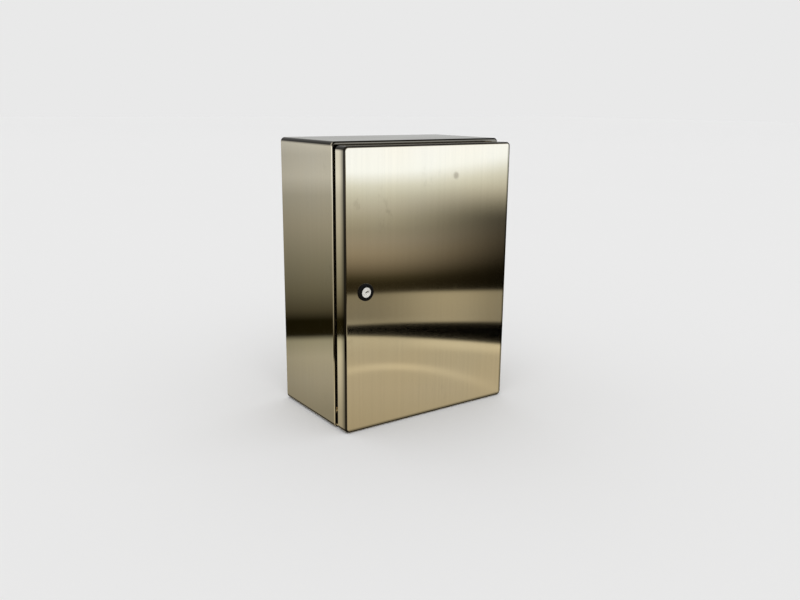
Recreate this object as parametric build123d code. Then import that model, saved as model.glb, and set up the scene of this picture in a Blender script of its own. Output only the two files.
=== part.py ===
"""Wall-mounted stainless switchboard cabinet with a hinged door, a cam lock and its switchgear.

Millimetres. +Z is up, +Y points to the wall behind, and the door faces -Y. The origin is the middle
of the box around the whole cabinet, on the plane that its base stands on.
"""

from build123d import *
import os

# ---------------------------------------------------------------- driving dimensions
# Cabinet
HEIGHT = 500.0
WIDTH = 360.0
DEPTH = 220.0  # door face to rear face
BODY_SHEET = 1.5
DOOR_SHEET = 1.5
REAR_SHEET = 1.5
BODY_CORNER = 8.0  # outer radius of the four long edges
BODY_BEND = 3.0  # outer radius where the walls fold into the front flange
REAR_EDGE = 0.7
FLANGE_WIDTH = 28.0  # outer wall to the outside of the sealing rim: top, base and hinge side
LOCK_SIDE_FLANGE = 20.0  # the same on the lock's side
RIM_BEND = 1.5

# Door
DOOR_DEPTH = 27.0
DOOR_GAP = 10.0  # open gap between the door's edge and the body's front flange
DOOR_SIDE_INSET = 1.0
DOOR_BOTTOM_INSET = 1.0
DOOR_TOP_INSET = 6.0  # the roof stands above the door
DOOR_CORNER = 8.0
DOOR_BEND = 3.5
SEAL_WIDTH = 12.0
SEAL_THICKNESS = 8.0
SEAL_EDGE = 2.2
SEAL_CLEARANCE = 0.3
LOCK_TO_RAIL = 27.0  # lock's middle to the middle of the rail beside it
DOOR_RAIL_WIDTH = 15.0
DOOR_RAIL_DEPTH = 12.0
DOOR_RAIL_SHEET = 1.5
DOOR_RAIL_END_GAP = 45.0  # rail's end to the door's edge
HOLE_PITCH = 25.0

# Lock
LOCK_FROM_EDGE = 40.5
LOCK_RIM_RADIUS = 15.0
LOCK_RIM_PROUD = 2.8
LOCK_SEAL_THICKNESS = 0.8
LOCK_BARREL_LENGTH = 30.0
LOCK_NUT_THICKNESS = 7.0
INSERT_RADIUS = 9.0
INSERT_WALL = 2.0  # barrel's wall round the insert
INSERT_LENGTH = 18.0
INSERT_RECESS = 0.5
INSERT_STEM_RADIUS = 6.0
KEY_DISH_RADIUS = 7.0
KEY_DISH_DEPTH = 0.9
KEY_SLOT_WIDTH = 3.0
KEY_SLOT_BACK = 1.6  # slot's near end, past the insert's middle
KEY_SLOT_REACH = 6.0  # slot's far end
KEY_SLOT_ANGLE = 14.0  # above level
KEY_SLOT_DEPTH = 9.0
CAM_SQUARE = 8.0
CAM_THICKNESS = 3.0
CAM_REACH = 29.5
CAM_HALF_WIDTH = 9.0
CAM_CLEARANCE = 1.0  # cam to the back of the flange that it catches

# Hinges
HINGE_FROM_END = 95.0
HINGE_SIDE_PLAY = 0.6  # knuckle to the inside of the door's folded edge
HINGE_AXIS_BACK = 20.0  # axis to the door's front face
HINGE_KNUCKLE_RADIUS = 3.4
HINGE_PIN_RADIUS = 2.0
HINGE_KNUCKLE_HALF = 8.0
HINGE_FORK_THICKNESS = 7.6
HINGE_PLAY = 0.4  # knuckle to fork, along the pin
HINGE_LEAF_SHEET = 2.5
HINGE_FOOT_WIDTH = 12.0
HINGE_FOOT_HALF = 20.0
HINGE_RIM_GAP = 1.5
HINGE_ARM_THICKNESS = 2.4
HINGE_SEAL_GAP = 1.2  # door leaf to the door's seal
HINGE_DOOR_BASE_HALF = 23.0

# Base opening and gland plate
GLAND_OPENING_WIDTH = 200.0
GLAND_OPENING_DEPTH = 110.0
GLAND_OPENING_CORNER = 6.0
GLAND_OVERLAP = 15.0
GLAND_PLATE_SHEET = 2.0
GLAND_SEAL_THICKNESS = 3.0

# Wall fixing and mounting plate
WALL_HOLE_RADIUS = 4.25
WALL_HOLE_INSET = 25.0
PLATE_MARGIN = 35.0  # cabinet's outside to the mounting plate's edge
PLATE_SHEET = 2.0
PLATE_STANDOFF = 18.0
PLATE_CORNER = 5.0
PLATE_STUD_INSET = 15.0
PLATE_STUD_RADIUS = 4.0
PLATE_STUD_END = 18.0  # stud beyond the plate's front

# Switchgear
MODULE = 17.5
MODULE_GAP = 0.2
RAIL_HEIGHT = 35.0
RAIL_DEPTH = 7.5
RAIL_SHEET = 1.0
RAIL_LIP = 4.0  # each lip, past the outside of the channel
RAIL_SPARE = 7.0  # rail beyond the end clamps
RAIL_SLOT_LENGTH = 15.0
RAIL_SLOT_WIDTH = 5.2
UPPER_ROW_BELOW_TOP = 150.0
LOWER_ROW_ABOVE_BASE = 175.0
CASE_HEIGHT = 84.0
CASE_SHOULDER_DEPTH = 44.0
CASE_NOSE_DEPTH = 60.0
CASE_NOSE_HEIGHT = 45.0
LEVER_HUB_RADIUS = 7.5
LEVER_HUB_DEPTH = 55.0  # rail plane to the lever's axis
LEVER_REACH = 16.5
LEVER_THICKNESS = 5.0
LEVER_HALF_THROW = 35.0
LEVER_PLAY = 0.4
TERMINAL_WIDTH = 8.2
TERMINAL_COUNT = 14
TERMINAL_HEIGHT = 44.0
TERMINAL_DEPTH = 46.0
CLAMP_WIDTH = 9.0
BAR_LENGTH = 108.0
BAR_SECTION = 9.0
BAR_HOLES = 9
BAR_ABOVE_BASE = 84.0
BAR_SUPPORT_DEPTH = 22.0
BAR_SUPPORT_WIDTH = 10.0
BAR_MIDDLE_OFFSET = 64.0  # each bar's middle to the cabinet's middle

# Fasteners and fits
THREAD_FIT = 0.05
PIN_FIT = 0.04
HOLE_FIT = 0.3
EARTH_STUD_RADIUS = 3.0
EARTH_STUD_LENGTH = 22.0
DOOR_EARTH_STUD_LENGTH = 11.9

# ---------------------------------------------------------------- derived planes
LOCK_PROUD = LOCK_RIM_PROUD + LOCK_SEAL_THICKNESS
FRONT_Y = -(DEPTH + LOCK_PROUD) / 2 + LOCK_PROUD  # door's front face
REAR_Y = FRONT_Y + DEPTH
FLANGE_Y = FRONT_Y + DOOR_DEPTH + DOOR_GAP  # body's front flange
DOOR_INNER_Y = FRONT_Y + DOOR_SHEET
REAR_INNER_Y = REAR_Y - REAR_SHEET
RIM_TIP_Y = DOOR_INNER_Y + SEAL_THICKNESS + SEAL_CLEARANCE
DOOR_HALF = WIDTH / 2 - DOOR_SIDE_INSET
DOOR_LOW_Z = DOOR_BOTTOM_INSET
DOOR_HIGH_Z = HEIGHT - DOOR_TOP_INSET
MIDDLE_Z = HEIGHT / 2
RIM_WIDTH = WIDTH - FLANGE_WIDTH - LOCK_SIDE_FLANGE
RIM_HEIGHT = HEIGHT - 2 * FLANGE_WIDTH
RIM_X = (LOCK_SIDE_FLANGE - FLANGE_WIDTH) / 2  # middle of the rim
SEAL_RIGHT_X = RIM_X + (RIM_WIDTH - BODY_SHEET + SEAL_WIDTH) / 2
HINGE_X = DOOR_HALF - DOOR_SHEET - HINGE_KNUCKLE_RADIUS - HINGE_SIDE_PLAY
HINGE_Y = FRONT_Y + HINGE_AXIS_BACK
HINGE_Z = {"lower": HINGE_FROM_END, "upper": HEIGHT - HINGE_FROM_END}
LOCK_X = -DOOR_HALF + LOCK_FROM_EDGE
LOCK_Z = MIDDLE_Z
LOCK_BARREL_RADIUS = INSERT_RADIUS + INSERT_WALL
LOCK_FLAT = INSERT_RADIUS + INSERT_WALL / 2  # half width over the barrel's two flats
LOCK_NUT_FLATS = 2 * LOCK_BARREL_RADIUS + 6.0
DOOR_RAIL_X = -LOCK_X - LOCK_TO_RAIL
CAM_Y = FLANGE_Y + BODY_SHEET + CAM_CLEARANCE
GLAND_Y = (FLANGE_Y + REAR_Y) / 2
PLATE_BACK_Y = REAR_INNER_Y - PLATE_STANDOFF
PLATE_Y = PLATE_BACK_Y - PLATE_SHEET  # plate's front face
PLATE_WIDTH = WIDTH - 2 * PLATE_MARGIN
PLATE_HEIGHT = HEIGHT - 2 * PLATE_MARGIN
RAIL_Y = PLATE_Y - RAIL_DEPTH  # front of the mounting rails
RAIL_CHANNEL = RAIL_HEIGHT - 2 * RAIL_LIP
ROW_Z = {"upper": HEIGHT - UPPER_ROW_BELOW_TOP, "lower": LOWER_ROW_ABOVE_BASE}


# ---------------------------------------------------------------- shape helpers
def block(x0, x1, y0, y1, z0, z1):
    """A box between two corners."""
    middle = Pos((x0 + x1) / 2, (y0 + y1) / 2, (z0 + z1) / 2)
    return middle * Box(abs(x1 - x0), abs(y1 - y0), abs(z1 - z0))


def rod_x(y, z, x0, x1, radius):
    """A round bar along X."""
    return Pos((x0 + x1) / 2, y, z) * Rot(0, 90, 0) * Cylinder(radius, abs(x1 - x0))


def rod_y(x, z, y0, y1, radius):
    """A round bar along Y."""
    return Pos(x, (y0 + y1) / 2, z) * Rot(90, 0, 0) * Cylinder(radius, abs(y1 - y0))


def rod_z(x, y, z0, z1, radius):
    """A round bar along Z."""
    return Pos(x, y, (z0 + z1) / 2) * Cylinder(radius, abs(z1 - z0))


def slab_y(width, height, corner, y0, y1, x=0.0, z=0.0):
    """A rounded rectangle seen from the front, extruded from y0 back to y1."""
    outline = RectangleRounded(width, height, corner)
    return Pos(x, y1, z) * Rot(90, 0, 0) * extrude(outline, y1 - y0)


def slab_z(width, depth, corner, z0, z1, x=0.0, y=0.0):
    """A rounded rectangle seen from above, extruded from z0 up to z1."""
    return Pos(x, y, z0) * extrude(RectangleRounded(width, depth, corner), z1 - z0)


def prism_x(points, x0, x1):
    """A closed outline of (y, z) points, extruded along X."""
    face = make_face(Polyline(*points, close=True))
    return extrude(Plane.YZ.offset(x0) * face, x1 - x0)


def hex_y(x, z, y0, y1, flats, turn=0.0):
    """A hexagonal bar along Y, with its size over flats, turned about its length."""
    outline = Rot(0, 0, turn) * RegularPolygon(flats / 2, 6, major_radius=False)
    return Pos(x, y1, z) * Rot(90, 0, 0) * extrude(outline, y1 - y0)


def hex_z(x, y, z0, z1, flats):
    """A hexagonal bar along Z, with its size over flats."""
    return Pos(x, y, z0) * extrude(RegularPolygon(flats / 2, 6, major_radius=False), z1 - z0)


def front_edges(shape):
    """The edges on the frontmost plane of a shape."""
    return shape.edges().group_by(Axis.Y)[0]


def rear_edges(shape):
    """The edges on the rearmost plane of a shape."""
    return shape.edges().group_by(Axis.Y)[-1]


def mirrored_x(places):
    """Each (x, z) place and its mirror image across the middle."""
    return [(sign * x, z) for x, z in places for sign in (-1, 1)]


def spread(count, pitch):
    """Evenly pitched places about zero."""
    return [(i - (count - 1) / 2) * pitch for i in range(count)]


# ---------------------------------------------------------------- cabinet body
def enclosure_body():
    """Four walls folded from one sheet, with the front flange and the sealing rim."""
    rear = REAR_Y - REAR_SHEET
    outer = slab_y(WIDTH, HEIGHT, BODY_CORNER, FLANGE_Y, rear, z=MIDDLE_Z)
    outer = fillet(front_edges(outer), BODY_BEND)
    hollow = slab_y(
        WIDTH - 2 * BODY_SHEET,
        HEIGHT - 2 * BODY_SHEET,
        BODY_CORNER - BODY_SHEET,
        FLANGE_Y + BODY_SHEET,
        rear,
        z=MIDDLE_Z,
    )
    hollow = fillet(front_edges(hollow), BODY_BEND - BODY_SHEET)
    rim = slab_y(RIM_WIDTH, RIM_HEIGHT, BODY_CORNER, RIM_TIP_Y, FLANGE_Y, x=RIM_X, z=MIDDLE_Z)
    mouth = slab_y(
        RIM_WIDTH - 2 * BODY_SHEET,
        RIM_HEIGHT - 2 * BODY_SHEET,
        BODY_CORNER - BODY_SHEET,
        RIM_TIP_Y,
        FLANGE_Y + BODY_SHEET,
        x=RIM_X,
        z=MIDDLE_Z,
    )
    shell = outer - hollow + rim
    root_edges = [e for e in shell.edges() if on_rim_root(e)]
    shell = fillet(root_edges, RIM_BEND) - mouth
    shell -= slab_z(
        GLAND_OPENING_WIDTH, GLAND_OPENING_DEPTH, GLAND_OPENING_CORNER, 0, BODY_SHEET, y=GLAND_Y
    )
    for x, z in hinge_screw_places():
        shell -= rod_y(x, z, FLANGE_Y, FLANGE_Y + BODY_SHEET, HINGE_SCREW_RADIUS + THREAD_FIT)
    return shell


def on_rim_root(edge):
    """Whether an edge lies where the rim leaves the front flange."""
    middle = edge.center()
    inside = abs(middle.X - RIM_X) < RIM_WIDTH / 2 + 1 and abs(middle.Z - MIDDLE_Z) < RIM_HEIGHT / 2 + 1
    return inside and abs(middle.Y - FLANGE_Y) < 0.01 and edge.bounding_box().size.Y < 0.01


def wall_hole_places():
    """The four wall fixing holes, as (x, z)."""
    x = WIDTH / 2 - WALL_HOLE_INSET
    return [(sx * x, z) for sx in (-1, 1) for z in (WALL_HOLE_INSET, HEIGHT - WALL_HOLE_INSET)]


def rear_panel():
    """The rear wall, welded to the folded walls, with the wall fixing holes."""
    panel = slab_y(WIDTH, HEIGHT, BODY_CORNER, REAR_INNER_Y, REAR_Y, z=MIDDLE_Z)
    panel = fillet(rear_edges(panel), REAR_EDGE)
    for x, z in wall_hole_places():
        panel -= rod_y(x, z, REAR_INNER_Y, REAR_Y, WALL_HOLE_RADIUS)
    return panel


def gland_stud_places():
    """The gland plate's studs, as (x, y)."""
    x = (GLAND_OPENING_WIDTH + GLAND_OVERLAP) / 2
    y = (GLAND_OPENING_DEPTH + GLAND_OVERLAP) / 2
    rows = [(sx * x, GLAND_Y + sy * y) for sx in (-1, 1) for sy in (-1, 1)]
    return rows + [(0.0, GLAND_Y + sy * y) for sy in (-1, 1)]


GLAND_STUD_RADIUS = 2.5
GLAND_NUT_FLATS = 8.0
GLAND_NUT_THICKNESS = 4.7
GLAND_STUD_LENGTH = 14.0


def gland_parts():
    """The plate that closes the base opening, its seal, and its studs and flange nuts."""
    outer = (GLAND_OPENING_WIDTH + 2 * GLAND_OVERLAP, GLAND_OPENING_DEPTH + 2 * GLAND_OVERLAP)
    seal_top = BODY_SHEET + GLAND_SEAL_THICKNESS
    plate_top = seal_top + GLAND_PLATE_SHEET
    seal = slab_z(*outer, GLAND_OPENING_CORNER, BODY_SHEET, seal_top, y=GLAND_Y)
    seal -= slab_z(
        GLAND_OPENING_WIDTH, GLAND_OPENING_DEPTH, GLAND_OPENING_CORNER, BODY_SHEET, seal_top, y=GLAND_Y
    )
    plate = slab_z(*outer, GLAND_OPENING_CORNER, seal_top, plate_top, y=GLAND_Y)
    studs, nuts = [], []
    for x, y in gland_stud_places():
        hole = rod_z(x, y, BODY_SHEET, plate_top, GLAND_STUD_RADIUS + HOLE_FIT)
        seal -= hole
        plate -= hole
        studs.append(rod_z(x, y, BODY_SHEET, BODY_SHEET + GLAND_STUD_LENGTH, GLAND_STUD_RADIUS))
        collar = rod_z(x, y, plate_top, plate_top + 1.2, GLAND_NUT_FLATS * 0.7)
        nut = collar + hex_z(x, y, plate_top, plate_top + GLAND_NUT_THICKNESS, GLAND_NUT_FLATS)
        bore = rod_z(x, y, plate_top, plate_top + GLAND_NUT_THICKNESS, GLAND_STUD_RADIUS + THREAD_FIT)
        nuts.append(nut - bore)
    return {
        "gland_plate": plate,
        "gland_plate_seal": seal,
        "gland_plate_studs": Compound(studs),
        "gland_plate_nuts": Compound(nuts),
    }


# ---------------------------------------------------------------- mounting plate
PLATE_COLLAR_RADIUS = 8.0
PLATE_WASHER_RADIUS = 8.0
PLATE_WASHER_THICKNESS = 1.6
PLATE_NUT_FLATS = 13.0
PLATE_NUT_THICKNESS = 6.5
RAIL_SCREW_RADIUS = 2.4
RAIL_SCREW_HEAD_RADIUS = 4.6
RAIL_SCREW_HEAD = 2.8
RAIL_SCREW_OFFSET = 3 * HOLE_PITCH  # each side of the rail's middle, at a slot


def plate_stud_places():
    """The mounting plate's four studs, as (x, z)."""
    x = PLATE_WIDTH / 2 - PLATE_STUD_INSET
    z = PLATE_HEIGHT / 2 - PLATE_STUD_INSET
    return [(sx * x, MIDDLE_Z + sz * z) for sx in (-1, 1) for sz in (-1, 1)]


def rail_screw_places():
    """The mounting rails' screws, as (x, z)."""
    return mirrored_x([(RAIL_SCREW_OFFSET, ROW_Z["upper"]), (RAIL_SCREW_OFFSET, ROW_Z["lower"])])


def plate_parts():
    """The mounting plate on its studs, with standoffs, washers and nuts."""
    plate = slab_y(PLATE_WIDTH, PLATE_HEIGHT, PLATE_CORNER, PLATE_Y, PLATE_BACK_Y, z=MIDDLE_Z)
    studs, collars, washers, nuts = [], [], [], []
    washer_y = PLATE_Y - PLATE_WASHER_THICKNESS
    nut_y = washer_y - PLATE_NUT_THICKNESS
    for x, z in plate_stud_places():
        plate -= rod_y(x, z, PLATE_Y, PLATE_BACK_Y, PLATE_STUD_RADIUS + HOLE_FIT)
        studs.append(rod_y(x, z, PLATE_Y - PLATE_STUD_END, REAR_INNER_Y, PLATE_STUD_RADIUS))
        loose = PLATE_STUD_RADIUS + HOLE_FIT
        collar = rod_y(x, z, PLATE_BACK_Y, REAR_INNER_Y, PLATE_COLLAR_RADIUS)
        collars.append(collar - rod_y(x, z, PLATE_BACK_Y, REAR_INNER_Y, loose))
        washer = rod_y(x, z, washer_y, PLATE_Y, PLATE_WASHER_RADIUS)
        washers.append(washer - rod_y(x, z, washer_y, PLATE_Y, loose))
        nut = hex_y(x, z, nut_y, washer_y, PLATE_NUT_FLATS)
        nuts.append(nut - rod_y(x, z, nut_y, washer_y, PLATE_STUD_RADIUS + THREAD_FIT))
    for x, z in rail_screw_places():
        plate -= rod_y(x, z, PLATE_Y, PLATE_BACK_Y, RAIL_SCREW_RADIUS + HOLE_FIT)
    return {
        "mounting_plate": plate,
        "plate_studs": Compound(studs),
        "plate_standoffs": Compound(collars),
        "plate_washers": Compound(washers),
        "plate_nuts": Compound(nuts),
    }


def mounting_rail(z):
    """A slotted top-hat rail, screwed to the mounting plate."""
    half = RAIL_LENGTH / 2
    channel = RAIL_CHANNEL / 2
    web = block(-half, half, PLATE_Y - RAIL_SHEET, PLATE_Y, z - channel, z + channel)
    rail = web
    for side in (-1, 1):
        inner, outer = sorted((z + side * (channel - RAIL_SHEET), z + side * channel))
        rail += block(-half, half, RAIL_Y, PLATE_Y, inner, outer)
        low, high = sorted((z + side * (channel - RAIL_SHEET), z + side * RAIL_HEIGHT / 2))
        rail += block(-half, half, RAIL_Y, RAIL_Y + RAIL_SHEET, low, high)
    slots = int((RAIL_LENGTH - RAIL_SLOT_LENGTH) // HOLE_PITCH)
    slots += 1 - slots % 2
    for x in spread(slots, HOLE_PITCH):
        rail -= slab_y(
            RAIL_SLOT_LENGTH, RAIL_SLOT_WIDTH, RAIL_SLOT_WIDTH / 2 - 0.01,
            PLATE_Y - RAIL_SHEET, PLATE_Y, x=x, z=z,
        )
    return rail


def slotted_screw_y(x, z, face_y, head_radius, head, shank_radius, shank):
    """A pan-head screw whose head stands in front of face_y, with a cross slot."""
    screw = rod_y(x, z, face_y - head, face_y, head_radius)
    screw = fillet(front_edges(screw), head * 0.3)
    screw += rod_y(x, z, face_y, face_y + shank, shank_radius)
    for angle in (0, 90):
        arm = Box(head_radius * 1.2, head, head_radius * 0.28)
        screw -= Pos(x, face_y - head, z) * Rot(0, angle, 0) * arm
    return screw


def rail_screws():
    """The four screws that hold the mounting rails."""
    face = PLATE_Y - RAIL_SHEET
    shank = RAIL_SHEET + PLATE_SHEET + 2.0
    return Compound(
        [
            slotted_screw_y(
                x, z, face, RAIL_SCREW_HEAD_RADIUS, RAIL_SCREW_HEAD, RAIL_SCREW_RADIUS, shank
            )
            for x, z in rail_screw_places()
        ]
    )


# ---------------------------------------------------------------- door
def door_panel():
    """The door: a sheet pan with folded edges, open at the back, with the lock's hole."""
    width = 2 * DOOR_HALF
    height = DOOR_HIGH_Z - DOOR_LOW_Z
    middle = (DOOR_HIGH_Z + DOOR_LOW_Z) / 2
    back = FRONT_Y + DOOR_DEPTH
    outer = fillet(
        front_edges(slab_y(width, height, DOOR_CORNER, FRONT_Y, back, z=middle)), DOOR_BEND
    )
    inner = slab_y(
        width - 2 * DOOR_SHEET,
        height - 2 * DOOR_SHEET,
        DOOR_CORNER - DOOR_SHEET,
        DOOR_INNER_Y,
        back,
        z=middle,
    )
    inner = fillet(front_edges(inner), DOOR_BEND - DOOR_SHEET)
    hole = flatted_barrel(FRONT_Y, DOOR_INNER_Y, HOLE_FIT)
    return outer - inner - hole


def door_seal():
    """The foam seal on the inside of the door, in line with the rim that it closes on."""
    middle = RIM_WIDTH - BODY_SHEET, RIM_HEIGHT - BODY_SHEET
    top = DOOR_INNER_Y + SEAL_THICKNESS
    half = SEAL_WIDTH / 2
    outer = slab_y(
        middle[0] + SEAL_WIDTH, middle[1] + SEAL_WIDTH, BODY_CORNER + half, DOOR_INNER_Y, top,
        x=RIM_X, z=MIDDLE_Z,
    )
    inner = slab_y(
        middle[0] - SEAL_WIDTH, middle[1] - SEAL_WIDTH, BODY_CORNER / 2, DOOR_INNER_Y, top,
        x=RIM_X, z=MIDDLE_Z,
    )
    seal = outer - inner
    return fillet(rear_edges(seal), SEAL_EDGE)


def door_rail(side):
    """A perforated channel, welded to the inside of the door by its two legs."""
    x = side * DOOR_RAIL_X
    low = DOOR_LOW_Z + DOOR_RAIL_END_GAP
    high = DOOR_HIGH_Z - DOOR_RAIL_END_GAP
    back = DOOR_INNER_Y + DOOR_RAIL_DEPTH
    half = DOOR_RAIL_WIDTH / 2
    rail = block(x - half, x + half, DOOR_INNER_Y, back, low, high)
    vertical = [e for e in rear_edges(rail) if e.bounding_box().size.Z > half]
    rail = fillet(vertical, DOOR_RAIL_SHEET)
    rail -= block(
        x - half + DOOR_RAIL_SHEET,
        x + half - DOOR_RAIL_SHEET,
        DOOR_INNER_Y,
        back - DOOR_RAIL_SHEET,
        low,
        high,
    )
    count = int((high - low - HOLE_PITCH) // HOLE_PITCH)
    for i, offset in enumerate(spread(count, HOLE_PITCH)):
        z = (low + high) / 2 + offset
        if i % 2:
            rail -= block(x - 2.5, x + 2.5, back - DOOR_RAIL_SHEET, back, z - 5.5, z + 5.5)
        else:
            rail -= rod_y(x, z, back - DOOR_RAIL_SHEET, back, 2.6)
    return rail


# ---------------------------------------------------------------- lock
def flatted_barrel(y0, y1, fit):
    """The lock barrel's round section with two flats, grown by a fit."""
    flat = LOCK_FLAT + fit
    radius = LOCK_BARREL_RADIUS + fit
    full = rod_y(LOCK_X, LOCK_Z, y0, y1, radius)
    return full & block(LOCK_X - flat, LOCK_X + flat, y0, y1, LOCK_Z - radius, LOCK_Z + radius)


def lock_parts():
    """The quarter-turn lock: black housing, seal, nut, key insert, cam and cam screw."""
    seal_y = FRONT_Y - LOCK_SEAL_THICKNESS
    face_y = seal_y - LOCK_RIM_PROUD
    barrel_end = FRONT_Y + LOCK_BARREL_LENGTH
    insert_front = face_y + INSERT_RECESS
    insert_end = insert_front + INSERT_LENGTH

    rim = rod_y(LOCK_X, LOCK_Z, face_y, seal_y, LOCK_RIM_RADIUS)
    rim = fillet(front_edges(rim), LOCK_RIM_PROUD * 0.7)
    housing = rim + flatted_barrel(seal_y, barrel_end, 0)
    housing -= rod_y(LOCK_X, LOCK_Z, face_y, insert_end, INSERT_RADIUS + PIN_FIT)
    housing -= rod_y(LOCK_X, LOCK_Z, insert_end, barrel_end, INSERT_STEM_RADIUS + PIN_FIT)

    seal = rod_y(LOCK_X, LOCK_Z, seal_y, FRONT_Y, LOCK_RIM_RADIUS - 1.0)
    seal -= flatted_barrel(seal_y, FRONT_Y, HOLE_FIT)

    nut_y = DOOR_INNER_Y + LOCK_NUT_THICKNESS
    nut = hex_y(LOCK_X, LOCK_Z, DOOR_INNER_Y, nut_y, LOCK_NUT_FLATS, turn=30)
    nut -= rod_y(LOCK_X, LOCK_Z, DOOR_INNER_Y, nut_y, LOCK_BARREL_RADIUS + THREAD_FIT)

    cam_end = CAM_Y + CAM_THICKNESS
    insert = rod_y(LOCK_X, LOCK_Z, insert_front, insert_end, INSERT_RADIUS)
    insert = fillet(front_edges(insert), 0.5)
    insert -= rod_y(LOCK_X, LOCK_Z, insert_front, insert_front + KEY_DISH_DEPTH, KEY_DISH_RADIUS)
    slot = block(-KEY_SLOT_BACK, KEY_SLOT_REACH, 0, KEY_SLOT_DEPTH, -KEY_SLOT_WIDTH / 2, KEY_SLOT_WIDTH / 2)
    insert -= Pos(LOCK_X, insert_front, LOCK_Z) * Rot(0, -KEY_SLOT_ANGLE, 0) * slot
    insert += rod_y(LOCK_X, LOCK_Z, insert_end, CAM_Y, INSERT_STEM_RADIUS)
    half = CAM_SQUARE / 2
    square = block(LOCK_X - half, LOCK_X + half, CAM_Y, cam_end, LOCK_Z - half, LOCK_Z + half)
    tapped = rod_y(LOCK_X, LOCK_Z, CAM_Y - 8.0, cam_end, 2.5 + THREAD_FIT)
    insert = insert + square - tapped

    left, right = LOCK_X - CAM_HALF_WIDTH, LOCK_X + CAM_HALF_WIDTH
    tongue = block(left, right, CAM_Y, cam_end, LOCK_Z, LOCK_Z + CAM_REACH)
    tip_edges = tongue.edges().group_by(Axis.Z)[-1]
    corners = [e for e in tip_edges if e.bounding_box().size.Y > CAM_THICKNESS / 2]
    cam = fillet(corners, CAM_HALF_WIDTH * 0.45)
    cam += rod_y(LOCK_X, LOCK_Z, CAM_Y, cam_end, CAM_HALF_WIDTH)
    hole = half + THREAD_FIT
    cam -= block(LOCK_X - hole, LOCK_X + hole, CAM_Y, cam_end, LOCK_Z - hole, LOCK_Z + hole)

    washer = rod_y(LOCK_X, LOCK_Z, cam_end, cam_end + 1.2, 7.5)
    head = hex_y(LOCK_X, LOCK_Z, cam_end + 1.2, cam_end + 4.7, 8.0)
    shank = rod_y(LOCK_X, LOCK_Z, CAM_Y - 7.0, cam_end, 2.5)
    return {
        "lock_housing": housing,
        "lock_seal": seal,
        "lock_nut": nut,
        "lock_insert": insert,
        "lock_cam": cam,
        "lock_cam_screw": washer + head + shank,
    }


# ---------------------------------------------------------------- hinges
HINGE_SCREW_RADIUS = 2.0
HINGE_SCREW_HEAD_RADIUS = 3.8
HINGE_SCREW_HEAD = 2.0
HINGE_NUT_FLATS = 7.0
HINGE_NUT_THICKNESS = 3.2
HINGE_FIXING_HALF = 15.0  # body leaf's screws, above and below its middle
HINGE_STUD_HALF = 19.5  # door leaf's studs, above and below its middle
HINGE_STUD_X = 7.0  # studs to the axis


def foot_span():
    """The x range of a body leaf's foot, beside the sealing rim."""
    start = WIDTH / 2 - FLANGE_WIDTH + HINGE_RIM_GAP
    return start, start + HINGE_FOOT_WIDTH


def hinge_screw_places():
    """The screws of the body leaves, as (x, z)."""
    x = sum(foot_span()) / 2
    return [(x, z + side * HINGE_FIXING_HALF) for z in HINGE_Z.values() for side in (-1, 1)]


def hinge_body_leaf(z):
    """A cranked leaf on the body's flange, which reaches round to the pin."""
    x0, x1 = foot_span()
    half = HINGE_KNUCKLE_HALF
    foot_front = FLANGE_Y - HINGE_LEAF_SHEET
    arm_front = HINGE_Y - HINGE_KNUCKLE_RADIUS
    riser_x1 = x1 - 2.0
    riser_x0 = riser_x1 - HINGE_LEAF_SHEET
    leaf = block(x0, x1, foot_front, FLANGE_Y, z - HINGE_FOOT_HALF, z + HINGE_FOOT_HALF)
    leaf += block(riser_x0, riser_x1, arm_front, FLANGE_Y, z - half, z + half)
    leaf += block(riser_x0, HINGE_X, arm_front, arm_front + HINGE_ARM_THICKNESS, z - half, z + half)
    leaf += rod_z(HINGE_X, HINGE_Y, z - half, z + half, HINGE_KNUCKLE_RADIUS)
    leaf -= rod_z(HINGE_X, HINGE_Y, z - half, z + half, HINGE_PIN_RADIUS + THREAD_FIT)
    for x, screw_z in hinge_screw_places():
        leaf -= rod_y(x, screw_z, foot_front, FLANGE_Y, HINGE_SCREW_RADIUS + HOLE_FIT)
    return leaf


def fork_spans(z):
    """The z ranges of the door leaf's two fork ends, above and below the knuckle."""
    near = HINGE_KNUCKLE_HALF + HINGE_PLAY
    far = near + HINGE_FORK_THICKNESS
    return [(z - far, z - near), (z + near, z + far)]


def hinge_door_leaf(z):
    """A forked leaf on the inside of the door, which turns about the pin."""
    x0, x1 = SEAL_RIGHT_X + HINGE_SEAL_GAP, HINGE_X + 1.5
    base_back = DOOR_INNER_Y + HINGE_LEAF_SHEET
    leaf = block(
        x0, x1, DOOR_INNER_Y, base_back, z - HINGE_DOOR_BASE_HALF, z + HINGE_DOOR_BASE_HALF
    )
    for z0, z1 in fork_spans(z):
        arm = block(HINGE_X - HINGE_KNUCKLE_RADIUS, x1, DOOR_INNER_Y, HINGE_Y, z0, z1)
        arm += rod_z(HINGE_X, HINGE_Y, z0, z1, HINGE_KNUCKLE_RADIUS)
        leaf += arm - rod_z(HINGE_X, HINGE_Y, z0, z1, HINGE_PIN_RADIUS + PIN_FIT)
    for side in (-1, 1):
        leaf -= rod_y(
            HINGE_X - HINGE_STUD_X, z + side * HINGE_STUD_HALF, DOOR_INNER_Y, base_back,
            HINGE_SCREW_RADIUS + HOLE_FIT,
        )
    return leaf


def hinge_pin(z):
    """A hinge pin with a flanged head on top."""
    (low, _), (_, high) = fork_spans(z)
    pin = rod_z(HINGE_X, HINGE_Y, low - 1.5, high, HINGE_PIN_RADIUS)
    return pin + rod_z(HINGE_X, HINGE_Y, high, high + 1.2, HINGE_KNUCKLE_RADIUS - 0.2)


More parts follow.
